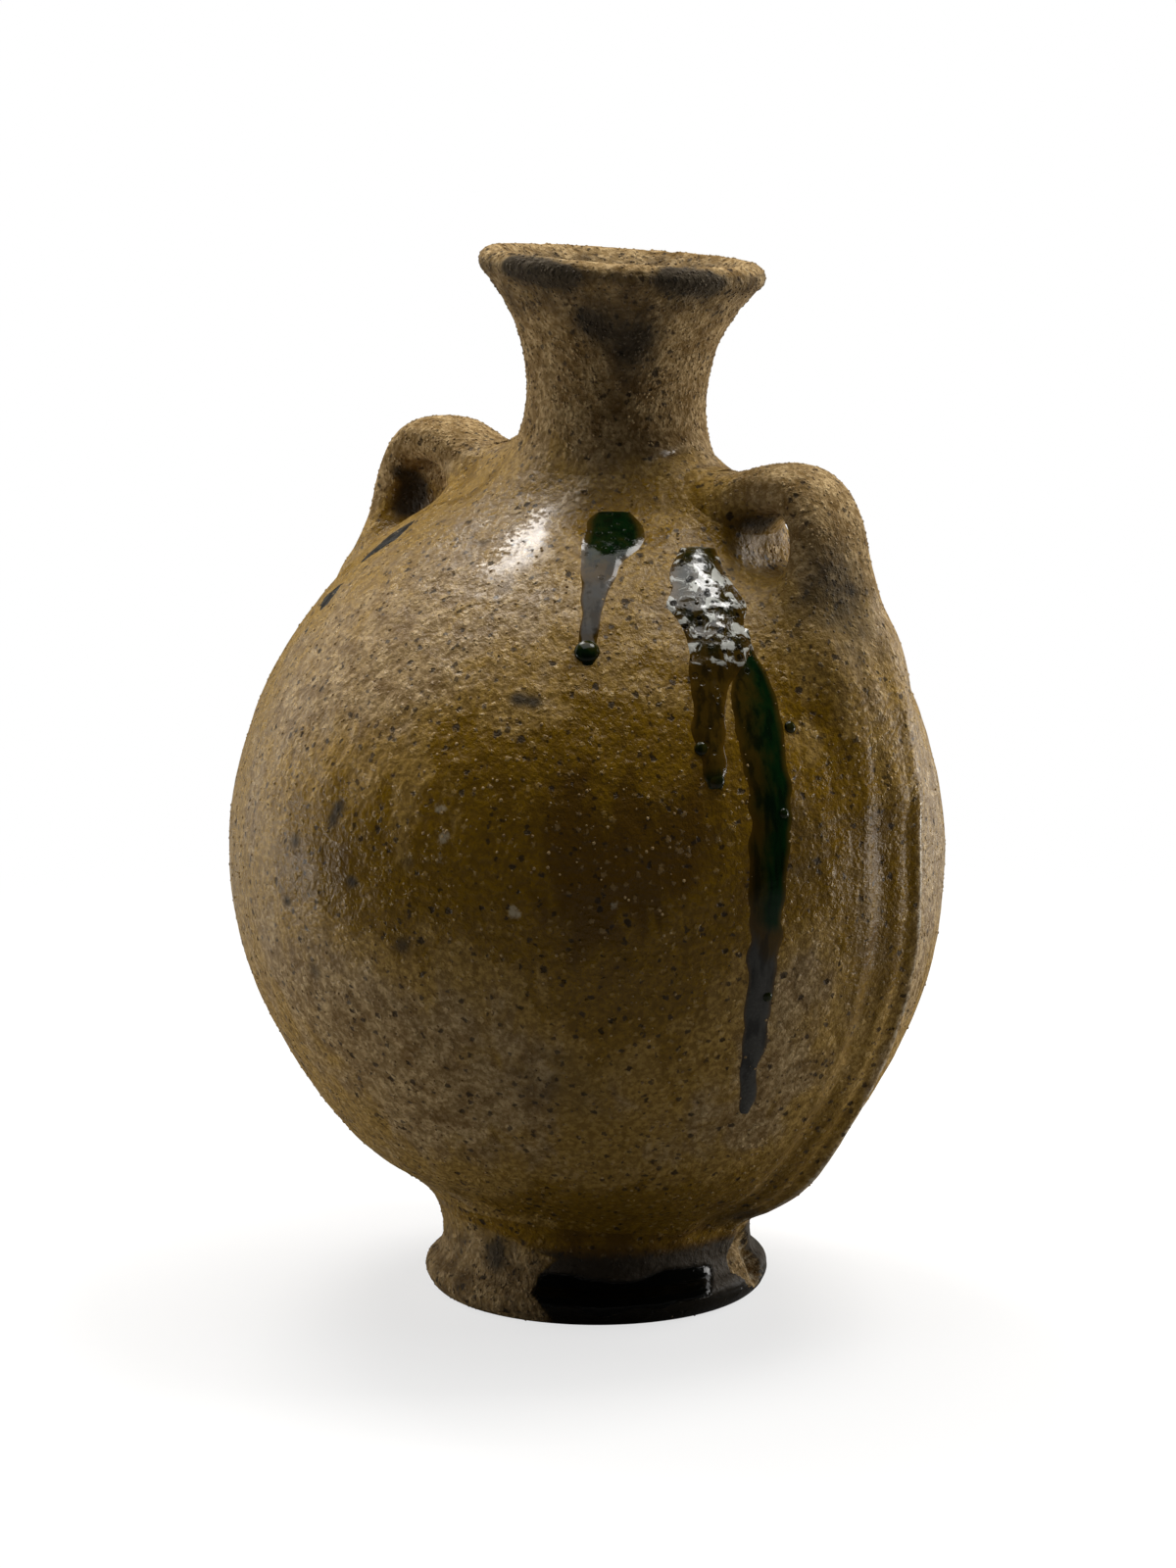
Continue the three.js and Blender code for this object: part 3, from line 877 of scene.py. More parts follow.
class Finish(Bench):
    """One material."""

    def __init__(self, name):
        self.material = bpy.data.materials.new(name)
        self.material.use_nodes = True
        super().__init__(self.material.node_tree)
        self.shader = self.tree.nodes["Principled BSDF"]
        place = self.node("ShaderNodeTexCoord", output="Object")
        self.place = self.vector("SCALE", place, 1 / MM)

    def mix(self, share, first, second):
        """A colour between two others."""
        settings = {"data_type": "RGBA", "blend_type": "MIX", "clamp_factor": True}
        return self.node("ShaderNodeMix", settings, {0: share, 6: plain(first), 7: plain(second)}, 2)

    def dots(self, place, size, rarity, widest, edge):
        """Round dots, one to a cell: the cell's size, the share of empty cells, the widest dot and its edge."""
        sockets = {"Vector": place, "Scale": 1 / size}
        gap = self.node("ShaderNodeTexVoronoi", {"voronoi_dimensions": "3D"}, sockets)
        shade = Wire(self, gap.socket.node.outputs["Color"])
        chance = self.node("ShaderNodeSeparateColor", None, {0: shade})
        return (chance.rise(rarity, 1.0) * widest - gap).rise(0.0, edge)

    def value(self, name):
        """A painted value of the piece."""
        return self.node("ShaderNodeAttribute", {"attribute_name": name}, None, "Fac")

    def set(self, **sockets):
        """Fills or links the shader's sockets, whose names are given with _ for spaces."""
        for name, value in sockets.items():
            socket = self.shader.inputs[name.replace("_", " ")]
            if isinstance(value, Wire):
                self.tree.links.new(value.socket, socket)
            else:
                socket.default_value = plain(value)

    def bump(self, height):
        """Relief of a height in millimetres."""
        self.set(Normal=self.node("ShaderNodeBump", None, {"Strength": 1.0, "Distance": MM, "Height": height}))


def plain(value):
    """A colour with its alpha, or the value as it is."""
    if isinstance(value, (Wire, int, float)):
        return value
    return (*tuple(value)[:3], 1.0)


def clay_finish(name, finish):
    """Gritty buff clay under a thin honey glaze, bare away from the body, with specks, soot and wear; the
    amber, soot and wear values also paint shade and highlights, and the grit's hollows are painted darker.
    """
    make = Finish(name)
    place = make.place
    titles = ("honey", "bare", "soot", "wear", "pool", "shine", "wet")
    honey, bare, soot, wear, pool, shine, wet = (make.value(title) for title in titles)
    wander = make.node("ShaderNodeTexNoise", None, {"Vector": place, "Scale": 0.8}, "Color")
    crooked = make.vector("ADD", place, make.vector("SCALE", wander, 2.0))
    hanging = make.vector("MULTIPLY", place, (1.0, 1.0, 0.45))
    tone = make.noise(place, 46, 4.0)
    flow = make.noise(hanging, 9, 5.0, 0.6, 0.5)
    cloud = make.noise(place, 5.5, 4.0, 0.6)
    lump = make.noise(place, 7.0, 2.0, 0.5)
    grain = make.noise(place, 1.5, 3.0, 0.6)
    grit = make.dots(crooked, 1.9, 0.2, 0.62, 0.45)
    specks = make.dots(crooked, 5.2, 0.3, 0.24, 0.1)
    flecks = make.dots(crooked, 2.4, 0.3, 0.4, 0.16)
    pits = make.dots(crooked, 3.8, 0.5, 0.27, 0.14)
    hollow = (grain * 0.7 + grit * 0.3).rise(0.45, 0.28)
    glaze = honey * 0.36 + (flow - 0.5) * 1.3 + (tone - 0.5) * 0.7 + 0.4 - bare * 0.5
    here = make.mix(cloud.rise(0.35, 0.7), finish.buff, finish.brown)
    here = make.mix(glaze.rise(0.05, 0.4), here, finish.ochre)
    here = make.mix(glaze.rise(0.46, 0.6), here, finish.honey)
    here = make.mix(glaze.rise(0.85, 1.2), here, finish.umber)
    # Paler grains and darker amber hollows: partly glaze pooled in the hollows, partly painted shade and light
    # on the grit's relief.
    here = make.mix(grit.rise(0.4, 0.9) * 0.3, here, finish.buff)
    here = make.mix(hollow * 0.6, here, finish.umber)
    here = make.mix((specks * 0.85).most(flecks * 0.75).most(pits * 0.8), here, finish.iron)
    # Soot, and painted shade where the soot value darkens the loops, the mouth, the valley and the foot.
    smoke_and_shade_mask = (soot + (cloud - 0.5) * 0.6 + (grain - 0.5) * 0.5).rise(0.15, 0.95)
    here = make.mix(smoke_and_shade_mask * 0.9, here, finish.soot)
    # Wear, and painted highlights along the crest, at the neck's foot and in small glints.
    worn_and_lit = (wear + (cloud - 0.5) * 0.9 + (grain - 0.5) * 0.6).rise(0.45, 0.75)
    here = make.mix(worn_and_lit * 0.8, here, finish.chalk_and_highlight)
    here = make.mix(pool, here, finish.black)
    gloss = (shine + glaze.rise(0.46, 0.6) * 0.4).least(1.0) * (1 - smoke_and_shade_mask * 0.6) * (1 - worn_and_lit)
    dull = 0.82 - gloss * 0.57 + (cloud - 0.5) * 0.3 + specks.most(pits) * 0.3 + hollow * 0.12
    roughness = dull.most(0.2).least(0.95) * (1 - pool * 0.85)
    relief = grit * (0.26 + bare * 0.14 - shine * 0.04) + grain * (0.5 + bare * 0.4) + lump * 1.1
    relief = (relief - pits * 0.5 - specks * 0.12) * (1 - pool * 0.9) * (1 - wet.rise(0.9, 1.6) * 0.6)
    film = (wet + (cloud - 0.5) * 1.6 + (grain - 0.5) * 1.2 - hollow * 0.4 - pits * 0.6).rise(0.25, 0.75)
    make.set(Base_Color=here, Roughness=roughness, Specular_IOR_Level=0.15)
    coat = film * (wet.rise(0.0, 0.5) * 0.5 + wet.rise(1.0, 1.8) * 0.5)
    make.set(Coat_Weight=coat, Coat_Roughness=0.18, Coat_IOR=1.5)
    make.bump(relief)
    return make.material


def glass_finish(name, finish):
    """Thick dark glaze: green, olive where thin, slate at its dull ends, frothed white where it crusts; the
    slate grey and the white froth are partly painted reflections.
    """
    make = Finish(name)
    tint, crust, thin = (make.value(title) for title in ("tint", "crust", "thin"))
    cloud = make.noise(make.place, 6, 4.0)
    streak = make.noise(make.vector("MULTIPLY", make.place, (1.0, 1.0, 0.16)), 2.4, 3.0)
    ripple = make.noise(make.place, 4.2, 2.0, 0.5, 0.6)
    foam = make.noise(make.place, 3.8, 4.0, 0.6, 0.8)
    fine = make.noise(make.place, 0.9, 2.0)
    bubbles = make.dots(make.place, 2.4, 0.25, 0.42, 0.1)
    shade = tint + (cloud - 0.5) * 0.35 + (streak - 0.5) * 0.45
    here = make.mix(shade.rise(0.1, 0.55), finish.green, finish.olive)
    here = make.mix(shade.rise(0.6, 0.95), here, finish.slate_and_reflection)
    here = make.mix(streak.rise(0.55, 0.38) * 0.55, here, finish.black)
    here = make.mix(thin.rise(0.6, 1.0) * 0.7, here, finish.umber)
    # The crust's pale froth, partly a painted reflection.
    white = (crust * 0.8 + (foam - 0.5) * 3.4 - 0.42).rise(0.38, 0.6)
    here = make.mix(white * (1 - bubbles) * crust * 0.85, here, finish.froth_and_glare)
    here = make.mix(bubbles * crust * 0.9, here, finish.black)
    roughness = 0.07 + shade.rise(0.6, 1.0) * 0.2 + (fine - 0.5) * 0.06
    relief = ripple * (0.05 + crust * 0.35) + foam * (crust * 0.7) - bubbles * (crust * 0.9)
    make.set(Base_Color=here, Roughness=roughness.most(0.05), Specular_IOR_Level=0.13)
    make.set(Coat_Weight=(crust * 0.75 + 0.03) * (1 - bubbles), Coat_Roughness=0.06)
    make.bump(relief)
    return make.material


def grit_finish(name, finish):
    """Bare grains that stand out of the clay."""
    make = Finish(name)
    tone = make.noise(make.place, 3, 3.0)
    patch = make.noise(make.place, 24, 3.0)
    here = make.mix(tone.rise(0.4, 0.62), finish.brown, finish.buff)
    here = make.mix(patch.rise(0.5, 0.66) * 0.7, here, finish.umber)
    here = make.mix(make.value("soot").rise(0.1, 0.8) * 0.85, here, finish.soot)
    make.set(Base_Color=here, Roughness=0.65 + tone * 0.25, Specular_IOR_Level=0.3)
    make.bump(make.noise(make.place, 0.5) * 0.1)
    return make.material


class Rule(Bench):
    """One Geometry Nodes tree with named inputs."""

    def __init__(self, name, inputs):
        super().__init__(bpy.data.node_groups.new(name, "GeometryNodeTree"))
        self.tree.is_modifier = True
        self.tree.interface.new_socket("Geometry", in_out="OUTPUT", socket_type="NodeSocketGeometry")
        self.keys = {}
        for title, kind in (("Geometry", "NodeSocketGeometry"), *inputs, ("Material", "NodeSocketMaterial")):
            socket = self.tree.interface.new_socket(title, in_out="INPUT", socket_type=kind)
            self.keys[title] = socket.identifier
        self.entry = self.tree.nodes.new("NodeGroupInput")

    def given(self, title):
        """One of the tree's inputs."""
        return Wire(self, self.entry.outputs[title])

    def end(self, geometry):
        """Realizes the result, gives it its material and ends the tree."""
        real = self.node("GeometryNodeRealizeInstances", None, {0: geometry})
        sockets = {"Geometry": real, "Material": self.given("Material")}
        coated = self.node("GeometryNodeSetMaterial", None, sockets)
        leave = self.tree.nodes.new("NodeGroupOutput")
        self.tree.links.new(coated.socket, leave.inputs[0])

    def use(self, piece, **values):
        """Puts the tree on a piece as a modifier with its inputs set."""
        modifier = piece.modifiers.new(self.tree.name, "NODES")
        modifier.node_group = self.tree
        for title, value in values.items():
            modifier[self.keys[title]] = value


@cache
def turning_rule():
    """Turning marks: fine grooves round an axis that wander a little and fade at both ends."""
    numbers = [(title, "NodeSocketFloat") for title in ("Pitch", "Depth", "Start", "Finish", "Wander")]
    rule = Rule("turning_marks", [("Axis", "NodeSocketVector"), *numbers])
    place = rule.node("GeometryNodeInputPosition")
    along = rule.vector("DOT_PRODUCT", place, rule.given("Axis"), "Value")
    drift = (rule.noise(place, 0.03, 2.0) - 0.5) * rule.given("Wander")
    wave = ((along + drift) * (2 * math.pi) / rule.given("Pitch")).sine() * 0.5 + 0.5
    inside = (along - rule.given("Start")).least(rule.given("Finish") - along)
    fade = inside.rise(0.0, 0.006) * rule.noise(place, 0.02, 2.0).rise(0.35, 0.65)
    lift = wave**4 * fade * rule.given("Depth") * -1
    shift = rule.vector("SCALE", rule.node("GeometryNodeInputNormal"), lift)
    rule.end(rule.node("GeometryNodeSetPosition", None, {"Geometry": rule.given("Geometry"), "Offset": shift}))
    return rule


@cache
def scatter_rule():
    """Small rounded grains or bubbles scattered over a surface and sunk into it."""
    numbers = [(title, "NodeSocketFloat") for title in ("Density", "Least", "Smallest", "Largest", "Flatness")]
    rule = Rule("scattered_grains", [*numbers, ("Painted", "NodeSocketString"), ("Seed", "NodeSocketInt")])
    settings = {"data_type": "FLOAT"}
    painted = rule.node("GeometryNodeInputNamedAttribute", settings, {"Name": rule.given("Painted")})
    pooled = rule.node("GeometryNodeInputNamedAttribute", settings, {"Name": "pool"})
    density = rule.given("Density") * (painted + rule.given("Least")).least(1.0) * (1 - pooled.least(1.0))
    sockets = {"Mesh": rule.given("Geometry"), "Density": density, "Seed": rule.given("Seed")}
    points = rule.node("GeometryNodeDistributePointsOnFaces", {"distribute_method": "RANDOM"}, sockets)
    spin = Wire(rule, points.socket.node.outputs["Rotation"])
    grain = rule.node("GeometryNodeMeshIcoSphere", None, {"Radius": 1.0, "Subdivisions": 1})
    smoothed = rule.node("GeometryNodeSetShadeSmooth", None, {"Geometry": grain})
    sockets = {2: rule.given("Smallest"), 3: rule.given("Largest"), "Seed": rule.given("Seed")}
    size = rule.node("FunctionNodeRandomValue", {"data_type": "FLOAT"}, sockets, 1)
    scale = rule.node("ShaderNodeCombineXYZ", None, {0: size, 1: size, 2: size * rule.given("Flatness")})
    sockets = {"Points": points, "Instance": smoothed, "Rotation": spin, "Scale": scale}
    rule.end(rule.node("GeometryNodeInstanceOnPoints", None, sockets))
    return rule


# --- pieces ---


def finish_named(jug, name, builder):
    """A material, built once."""
    if name not in bpy.data.materials:
        builder(name, jug.finish)
    return bpy.data.materials[name]


def turn_marks(jug, piece, clay, axis, marks):
    """Puts turning marks round an axis on a piece, with its clay."""
    sizes = dict(zip(("Pitch", "Depth", "Start", "Finish", "Wander"), marks))
    turning_rule().use(piece, Axis=axis, **sizes, Material=finish_named(jug, clay, clay_finish))


def colour_clay(jug, piece, wear=0.0, soot=0.0, pour=0.0, pool=0.0, waist_pool_and_shade=0.0):
    """Paints what a piece's clay reads, from spots, bands along the joint and the distance to the body."""
    trees = plain_trees(jug)
    mesh = piece.data
    places, _ = vertex_places(mesh)
    gap, _ = distances(places, trees["body"], SEARCH)
    height = places[:, 2]
    on_joint = smooth(gap, 4 * MM, 1 * MM) * smooth(height, 0.2, 0.125)
    # A paler, glossier crest: partly wear, partly a painted highlight line.
    crest_wear_and_highlight = on_joint * band(places[:, 1], *CREST_WEAR_AND_HIGHLIGHT)
    # A valley of thicker amber and soot: pooled glaze and painted shade.
    valley_glaze_and_shade = on_joint * band(places[:, 1], *VALLEY_GLAZE_AND_SHADE)
    tables = (AMBER_AND_SHADING_SPOTS, SOOT_AND_SHADE_SPOTS, HIGHLIGHT_AND_WEAR_SPOTS, WET_SPOTS)
    honey, smoke_and_shade, worn_and_lit, wet = (spot_values(jug.stage, trees["all"], places, table) for table in tables)
    shine = smooth(gap, 13 * MM, 4 * MM) * (0.25 + 0.75 * smooth(height, 0.075, 0.125))
    values = {
        "honey": honey + 1.4 * valley_glaze_and_shade - 1.2 * crest_wear_and_highlight + 1.2 * pour + 1.6 * waist_pool_and_shade,
        "soot": smoke_and_shade + soot + 0.35 * valley_glaze_and_shade,
        "bare": smooth(gap, 3 * MM, 17 * MM) * (1 - pour),
        "wear": worn_and_lit + wear + 0.6 * crest_wear_and_highlight,
        "pool": np.zeros(len(places)) + pool,
        "shine": np.maximum(shine, 0.4 * pour),
        "wet": wet + 0.9 * crest_wear_and_highlight,
    }
    for title, painted in values.items():
        paint(mesh, title, painted)


def build_bowl(jug, front):
    """One bowl: settled, luted to the neck, the foot and the handles, with turning marks and the bore cut."""
    name = "front_bowl" if front else "rear_bowl"
    steps = 170 if front else 150
    mesh = plain_mesh(name, *bowl_surface(jug, front, steps, 360, 16))
    trees = plain_trees(jug)
    near = [(trees["right"], jug.handles.fillet), (trees["left"], jug.handles.fillet)]
    near += [(trees["neck"], jug.neck.fillet), (trees["foot"], jug.foot.fillet)]
    side = -1 if front else 1
    before, _ = vertex_places(mesh)
    lute(mesh, trees["body"], near, ridge=smooth(np.abs(before[:, 1]), 18 * MM, 9 * MM))
    carry_rim(mesh, before, side * before[:, 1])
    knead(mesh)
    piece = new_object(name + "_clay", mesh)
    marks = FRONT_MARKS if front else REAR_MARKS
    turn_marks(jug, piece, "glazed_body_clay", (0.0, float(side), 0.0), marks)
    cutter = bore_cutter(jug)
    bore = piece.modifiers.new("bore", "BOOLEAN")
    bore.operation = "DIFFERENCE"
    bore.solver = "MANIFOLD"
    bore.object = cutter
    baked(piece)
    drop_object(cutter)
    piece.data.shade_smooth()
    colour_clay(jug, piece)
    deliver(piece, name)


def carry_rim(mesh, before, across):
    """Moves a bowl's rim and its lap along with the ring of clay beside them."""
    places, _ = vertex_places(mesh)
    beside = np.where((across > RING[0]) & (across < RING[1]))[0]
    rim = np.where(across <= RING[0])[0]
    nearest = np.argmin(np.linalg.norm(before[rim][:, None] - before[beside][None], axis=2), axis=1)
    places[rim] = before[rim] + (places[beside] - before[beside])[nearest]
    move_vertices(mesh, places)


def bore_cutter(jug):
    """A round bar that cuts the neck's bore through the top of the body."""
    body = jug.body
    radius = jug.neck.bore + 0.4 * MM
    low, high, columns = 0.7 * body.radius, 1.2 * body.radius, 64
    outline = np.array(((0, low), (radius, low), (radius, high), (0, high)))
    points, faces = turned_surface(outline, columns)
    mesh = plain_mesh("bore_bar", stand(body, points), faces[: 3 * columns])
    return new_object("bore_bar", mesh)


def drop_object(piece):
    """Removes a helper object and its mesh."""
    mesh = piece.data
    bpy.data.objects.remove(piece)
    bpy.data.meshes.remove(mesh)


def off_axis(jug, places):
    """How far places lie from the neck's leaning axis."""
    shift = (places[:, 2] - middle_height(jug.body)) * math.tan(jug.body.lean)
    return np.hypot(places[:, 0] - shift, places[:, 1])


def build_neck(jug):
    """The neck: turned, tilted, luted on the body, with a worn and pitted lip, its top partly a painted
    highlight and its mouth darkened as painted shade.
    """
    trees = plain_trees(jug)
    mesh = plain_mesh("neck", *neck_surface(jug, 12, 256))
    places, _ = vertex_places(mesh)
    in_bore = off_axis(jug, places) < (jug.neck.bore + jug.neck.radius) / 2
    near = [(trees["body"], jug.neck.fillet)]
    near += [(trees["right"], jug.handles.fillet), (trees["left"], jug.handles.fillet)]
    lute(mesh, trees["neck"], near, in_bore)
    bury(mesh, trees["body"])
    knead(mesh)
    places, normals = vertex_places(mesh)
    top = middle_height(jug.body) + jug.body.radius + jug.neck.height
    near_lip = smooth(places[:, 2], top - 0.013, top - 0.004)
    nicks = np.minimum(lumps(places, 0.005, 6) + 0.25, 0)
    move_vertices(mesh, places + normals * (near_lip * nicks * 0.7 * MM)[:, None])
    piece = new_object("neck_clay", mesh)
    axis = (math.sin(jug.body.lean), 0.0, math.cos(jug.body.lean))
    turn_marks(jug, piece, "gritty_neck_clay", axis, (0.0052, 0.00022, 0.23, top - 0.004, 0.002))
    baked(piece)
    places, normals = vertex_places(piece.data)
    # The lip's top is paler: partly wear, partly a painted highlight.
    crest_wear_and_highlight = smooth(places[:, 2], top - 0.012, top - 0.002) * smooth(normals[:, 2], 0.1, 0.9)
    # The inside of the mouth is darkened as painted shade; under the lip's top it is smudged darker.
    inward = smooth(off_axis(jug, places), jug.neck.lip_radius - 3 * MM, jug.neck.lip_radius - 9 * MM)
    inside = inward * smooth(normals[:, 2], -0.1, 0.4) * smooth(places[:, 2], top - 0.03, top - 0.01)
    near_lip = smooth(places[:, 2], top - 0.026, top - 0.01)
    colour_clay(jug, piece, crest_wear_and_highlight * 0.15, np.maximum(0.5 * inside, 0.5 * near_lip * (1 - crest_wear_and_highlight)))
    deliver(piece, "neck")


def build_foot(jug):
    """The foot ring: turned, luted under the body, with a chipped flange and glaze pooled over one side."""
    trees = plain_trees(jug)
    foot = jug.foot
    mesh = plain_mesh("foot_ring", *foot_surface(jug, 12, 320))
    lute(mesh, trees["foot"], [(trees["body"], foot.fillet)])
    bury(mesh, trees["body"])
    places, _ = vertex_places(mesh)
    knead(mesh, smooth(places[:, 2], 0.0, 2 * MM))
    chip = chip_flange(jug, mesh)
    piece = new_object("foot_ring_clay", mesh)
    turn_marks(jug, piece, "gritty_foot_clay", (0.0, 0.0, 1.0), FOOT_MARKS)
    baked(piece)
    places, normals = vertex_places(piece.data)
    outside = smooth(np.hypot(places[:, 0], places[:, 1]), foot.bore + 1 * MM, foot.bore + 3 * MM)
    pour = outside * poured(jug.stage, places) * (1 - chip)
    half = 4.2 * MM
    level = places[:, 2] + 2.2 * MM * lumps(places, 0.014, 21)
    seen_x, _ = photo_places(jug.stage, places)
    toward = places @ np.array((math.sin(jug.stage.azimuth), -math.cos(jug.stage.azimuth), 0.0))
    before = smooth(toward, 0.0, 0.012)
    pool = pour * before * smooth(seen_x, POOL_END + 8, POOL_END - 8)
    pool = pool * band(level, foot.roll + half, half, 4)
    move_vertices(piece.data, places + normals * (0.7 * MM * pool)[:, None])
    # Darker amber and soot in the waist under the body: pooled glaze and painted shade.
    waist_pool_and_shade = pour * smooth(places[:, 2], foot.waist_height + 7 * MM, foot.waist_height)
    film = np.maximum(smooth(pool, 0.25, 0.75), 0.8 * before * pour * smooth(places[:, 2], 8 * MM, 5 * MM))
    # The bare clay of the foot is darker all over.
    colour_clay(jug, piece, chip * 0.5, 0.45 * (1 - pour) + waist_pool_and_shade, pour, film, waist_pool_and_shade)
    deliver(piece, "foot_ring")


def poured(stage, places):
    """How far the glaze covers the foot at each place, from its edge in the photograph to a guessed one."""
    seen_x, seen_y = photo_places(stage, places)
    turned = np.arctan2(places[:, 0], -places[:, 1]) - stage.azimuth
    turned = (turned + math.pi) % (2 * math.pi) - math.pi
    wander = lumps(places, 0.012, 22)
    front = smooth(seen_x - along_rows(seen_y, FOOT_EDGE) + 4 * wander, -4, 4)
    behind = smooth(turned + 0.2 * wander, math.radians(124), math.radians(116))
    return np.where(np.abs(turned) < math.radians(75), front, np.where(turned > 0, behind, 0))


def photo_places(stage, places):
    """Where places appear in the photograph's frame."""
    matrix = np.array(camera_matrix(stage).inverted())
    local = places @ matrix[:3, :3].T + matrix[:3, 3]
    along = -PHOTO_FOCAL / local[:, 2]
    return PHOTO_WIDTH / 2 + along * local[:, 0], PHOTO_HEIGHT / 2 - along * local[:, 1]


def chip_flange(jug, mesh):
    """Breaks facets out of the flange where the photograph shows a chip, and tells which vertices they took."""
    places, _ = vertex_places(mesh)
    middle, normal = seen_place(jug.stage, search_tree(mesh), *CHIP_PLACE)
    aside = Vector((0, 0, 1)).cross(normal).normalized()
    away = np.linalg.norm(places - np.array(middle), axis=1)
    near = smooth(away + 1.5 * MM * lumps(places, 0.004, 23), 9 * MM, 7 * MM)
    taken = np.zeros(len(places))
    for lean, rise, bite in CHIP_FACETS:
        facing = np.array((normal + aside * lean + Vector((0, 0, rise))).normalized())
        over = (places - np.array(middle)) @ facing + bite * MM
        cut = near * np.maximum(over, 0)
        places = places - cut[:, None] * facing
        taken = np.maximum(taken, smooth(cut, 0.05 * MM, 0.4 * MM))
    places[:, 2] = np.maximum(places[:, 2], 0)
    move_vertices(mesh, places)
    return taken


def build_handles(jug):
    """Both loop handles: straps luted over the shoulders, with tails smeared down the ridge."""
    trees = plain_trees(jug)
    body = trees["body"]
    for side, name in ((1, "right"), (-1, "left")):
        mesh = plain_mesh(name + "_handle", *strap_surface(jug, side, 230, 72))
        lute(mesh, trees[name], [(body, jug.handles.fillet)])
        bury(mesh, body)
        knead(mesh)
        mesh.materials.append(finish_named(jug, "gritty_handle_clay", clay_finish))
        piece = new_object(name + "_handle_clay", mesh)
        places, normals = vertex_places(mesh)
        gap, _ = distances(places, body, 0.03)
        # Paler chalk on the upward faces of the loops away from the body.
        colour_clay(jug, piece, smooth(gap, 0.012, 0.028) * smooth(normals[:, 2], 0.0, 0.9) * 0.3)
        deliver(piece, name + "_handle")


def run_mesh(jug, name, outline, tree, height, tints, crusts, olive):
    """A raised run of glaze: the rows of its outline are laid on the surface and swell between their edges."""
    rows_y, left, right = np.array(outline, dtype=float).T
    steps = max(int((rows_y[-1] - rows_y[0]) / 1.6), 24)
    y = np.linspace(rows_y[0], rows_y[-1], steps)
    left, right = smoothed_edge(y, rows_y, left), smoothed_edge(y, rows_y, right)
    wobble = np.array([noise.noise(Vector((0.05 * level, rows_y[0], 0.5))) for level in y])
    ends = smooth(y, rows_y[0], rows_y[0] + 14) * smooth(-y, -rows_y[-1], 14 - rows_y[-1])
    rough = along_rows(y, crusts)
    left, right = left + 5 * wobble * ends, right - 4 * wobble[::-1] * ends
    columns = 22
    share = 0.5 - 0.5 * np.cos(np.linspace(0, math.pi, columns))
    swell = np.maximum(4 * share * (1 - share), 0) ** 0.75
    middle = np.maximum((right - left) / 2, 0.5)
    round_top, round_low = rounded((y - y[0]) / middle), rounded((y[-1] - y) / middle)
    fat = 1 + 0.7 * smooth(y, y[-1] - 3 * middle[-1] - 30, y[-1] - 8)
    top, under = [], []
    for row, level in enumerate(y):
        for column in range(columns):
            x = left[row] + (right[row] - left[row]) * share[column]
            spot, normal = seen_place(jug.stage, tree, x, level)
            lift = swell[column] * round_top[row] * round_low[row]
            bulge = height * fat[row] * min(middle[row] / 12, 1.3) * (0.55 + 0.45 * rough[row])
            ripple = 0.3 * noise.noise(spot / 0.005) + 0.2 * noise.noise(spot / 0.0022)
            texture = 1 + (0.3 + 0.35 * rough[row]) * ripple
            top.append(spot + normal * (lift * bulge * texture - RUN_ROOT))
            under.append(spot - normal * (RUN_ROOT + RUN_BELLY * lift))
    points = np.concatenate((np.array(top), np.array(under)))
    first = (np.arange(steps - 1)[:, None] * columns + np.arange(columns - 1)[None, :]).ravel()
    upper = np.column_stack((first, first + 1, first + columns + 1, first + columns))
    lower = upper[:, ::-1] + steps * columns
    mesh = plain_mesh(name, points, np.concatenate((upper, lower)))
    places, _ = vertex_places(mesh)
    seen_x, seen_y = photo_places(jug.stage, places)
    low, high = np.interp(seen_y, y, left), np.interp(seen_y, y, right)
    across = np.clip((seen_x - low) / (high - low), 0, 1)
    paint(mesh, "tint", along_rows(seen_y, tints) + olive * smooth(across, 0.8, 0.05))
    paint(mesh, "crust", along_rows(seen_y, crusts))
    paint(mesh, "thin", np.abs(2 * across - 1))
    return mesh


def along_rows(y, rows):
    """A value at every y, between rows of y and value."""
    return np.interp(y, *np.array(rows, dtype=float).T)


def rounded(share):
    """The height of a round end at a share of its length."""
    return np.sqrt(np.clip(1 - (1 - np.clip(share, 0, 1)) ** 2, 0, 1))


def smoothed_edge(y, rows_y, edge):
    """An outline's edge at every y, with its corners rounded."""
    plain_edge = np.interp(y, rows_y, edge)
    reach = 5
    padded = np.concatenate((np.repeat(plain_edge[0], reach), plain_edge, np.repeat(plain_edge[-1], reach)))
    return np.convolve(padded, np.full(2 * reach + 1, 1 / (2 * reach + 1)), "valid")


def bead_mesh(jug, name, tree, beads):
    """Round beads of glaze that sit half sunk in the surface."""
    rings, columns, flatness, ripple = 21, 32, 0.6, 0.08 * MM
    angle = np.linspace(0, math.pi, rings)
    ball, _ = turned_surface(np.column_stack((np.sin(angle), np.cos(angle))), columns)
    scale = jug.stage.distance / PHOTO_FOCAL
    points = []
    for x, y, radius in beads:
        spot, normal = seen_place(jug.stage, tree, x, y)
        size = radius * scale
        turned = np.array(normal.to_track_quat("Z", "Y").to_matrix())
        points.append((ball * (size, size, size * flatness)) @ turned.T + np.array(spot))
    faces = [grid_faces(rings, columns) + index * len(ball) for index in range(len(beads))]
    mesh = plain_mesh(name, np.concatenate(points), np.concatenate(faces))
    places, normals = vertex_places(mesh)
    uneven = np.array([noise.noise(Vector(place) / 0.003) for place in places])
    move_vertices(mesh, places + normals * (ripple * uneven)[:, None])
    for title, value in (("tint", 0.25), ("crust", 0), ("thin", 0)):
        paint(mesh, title, np.full(len(places), value))
    return mesh


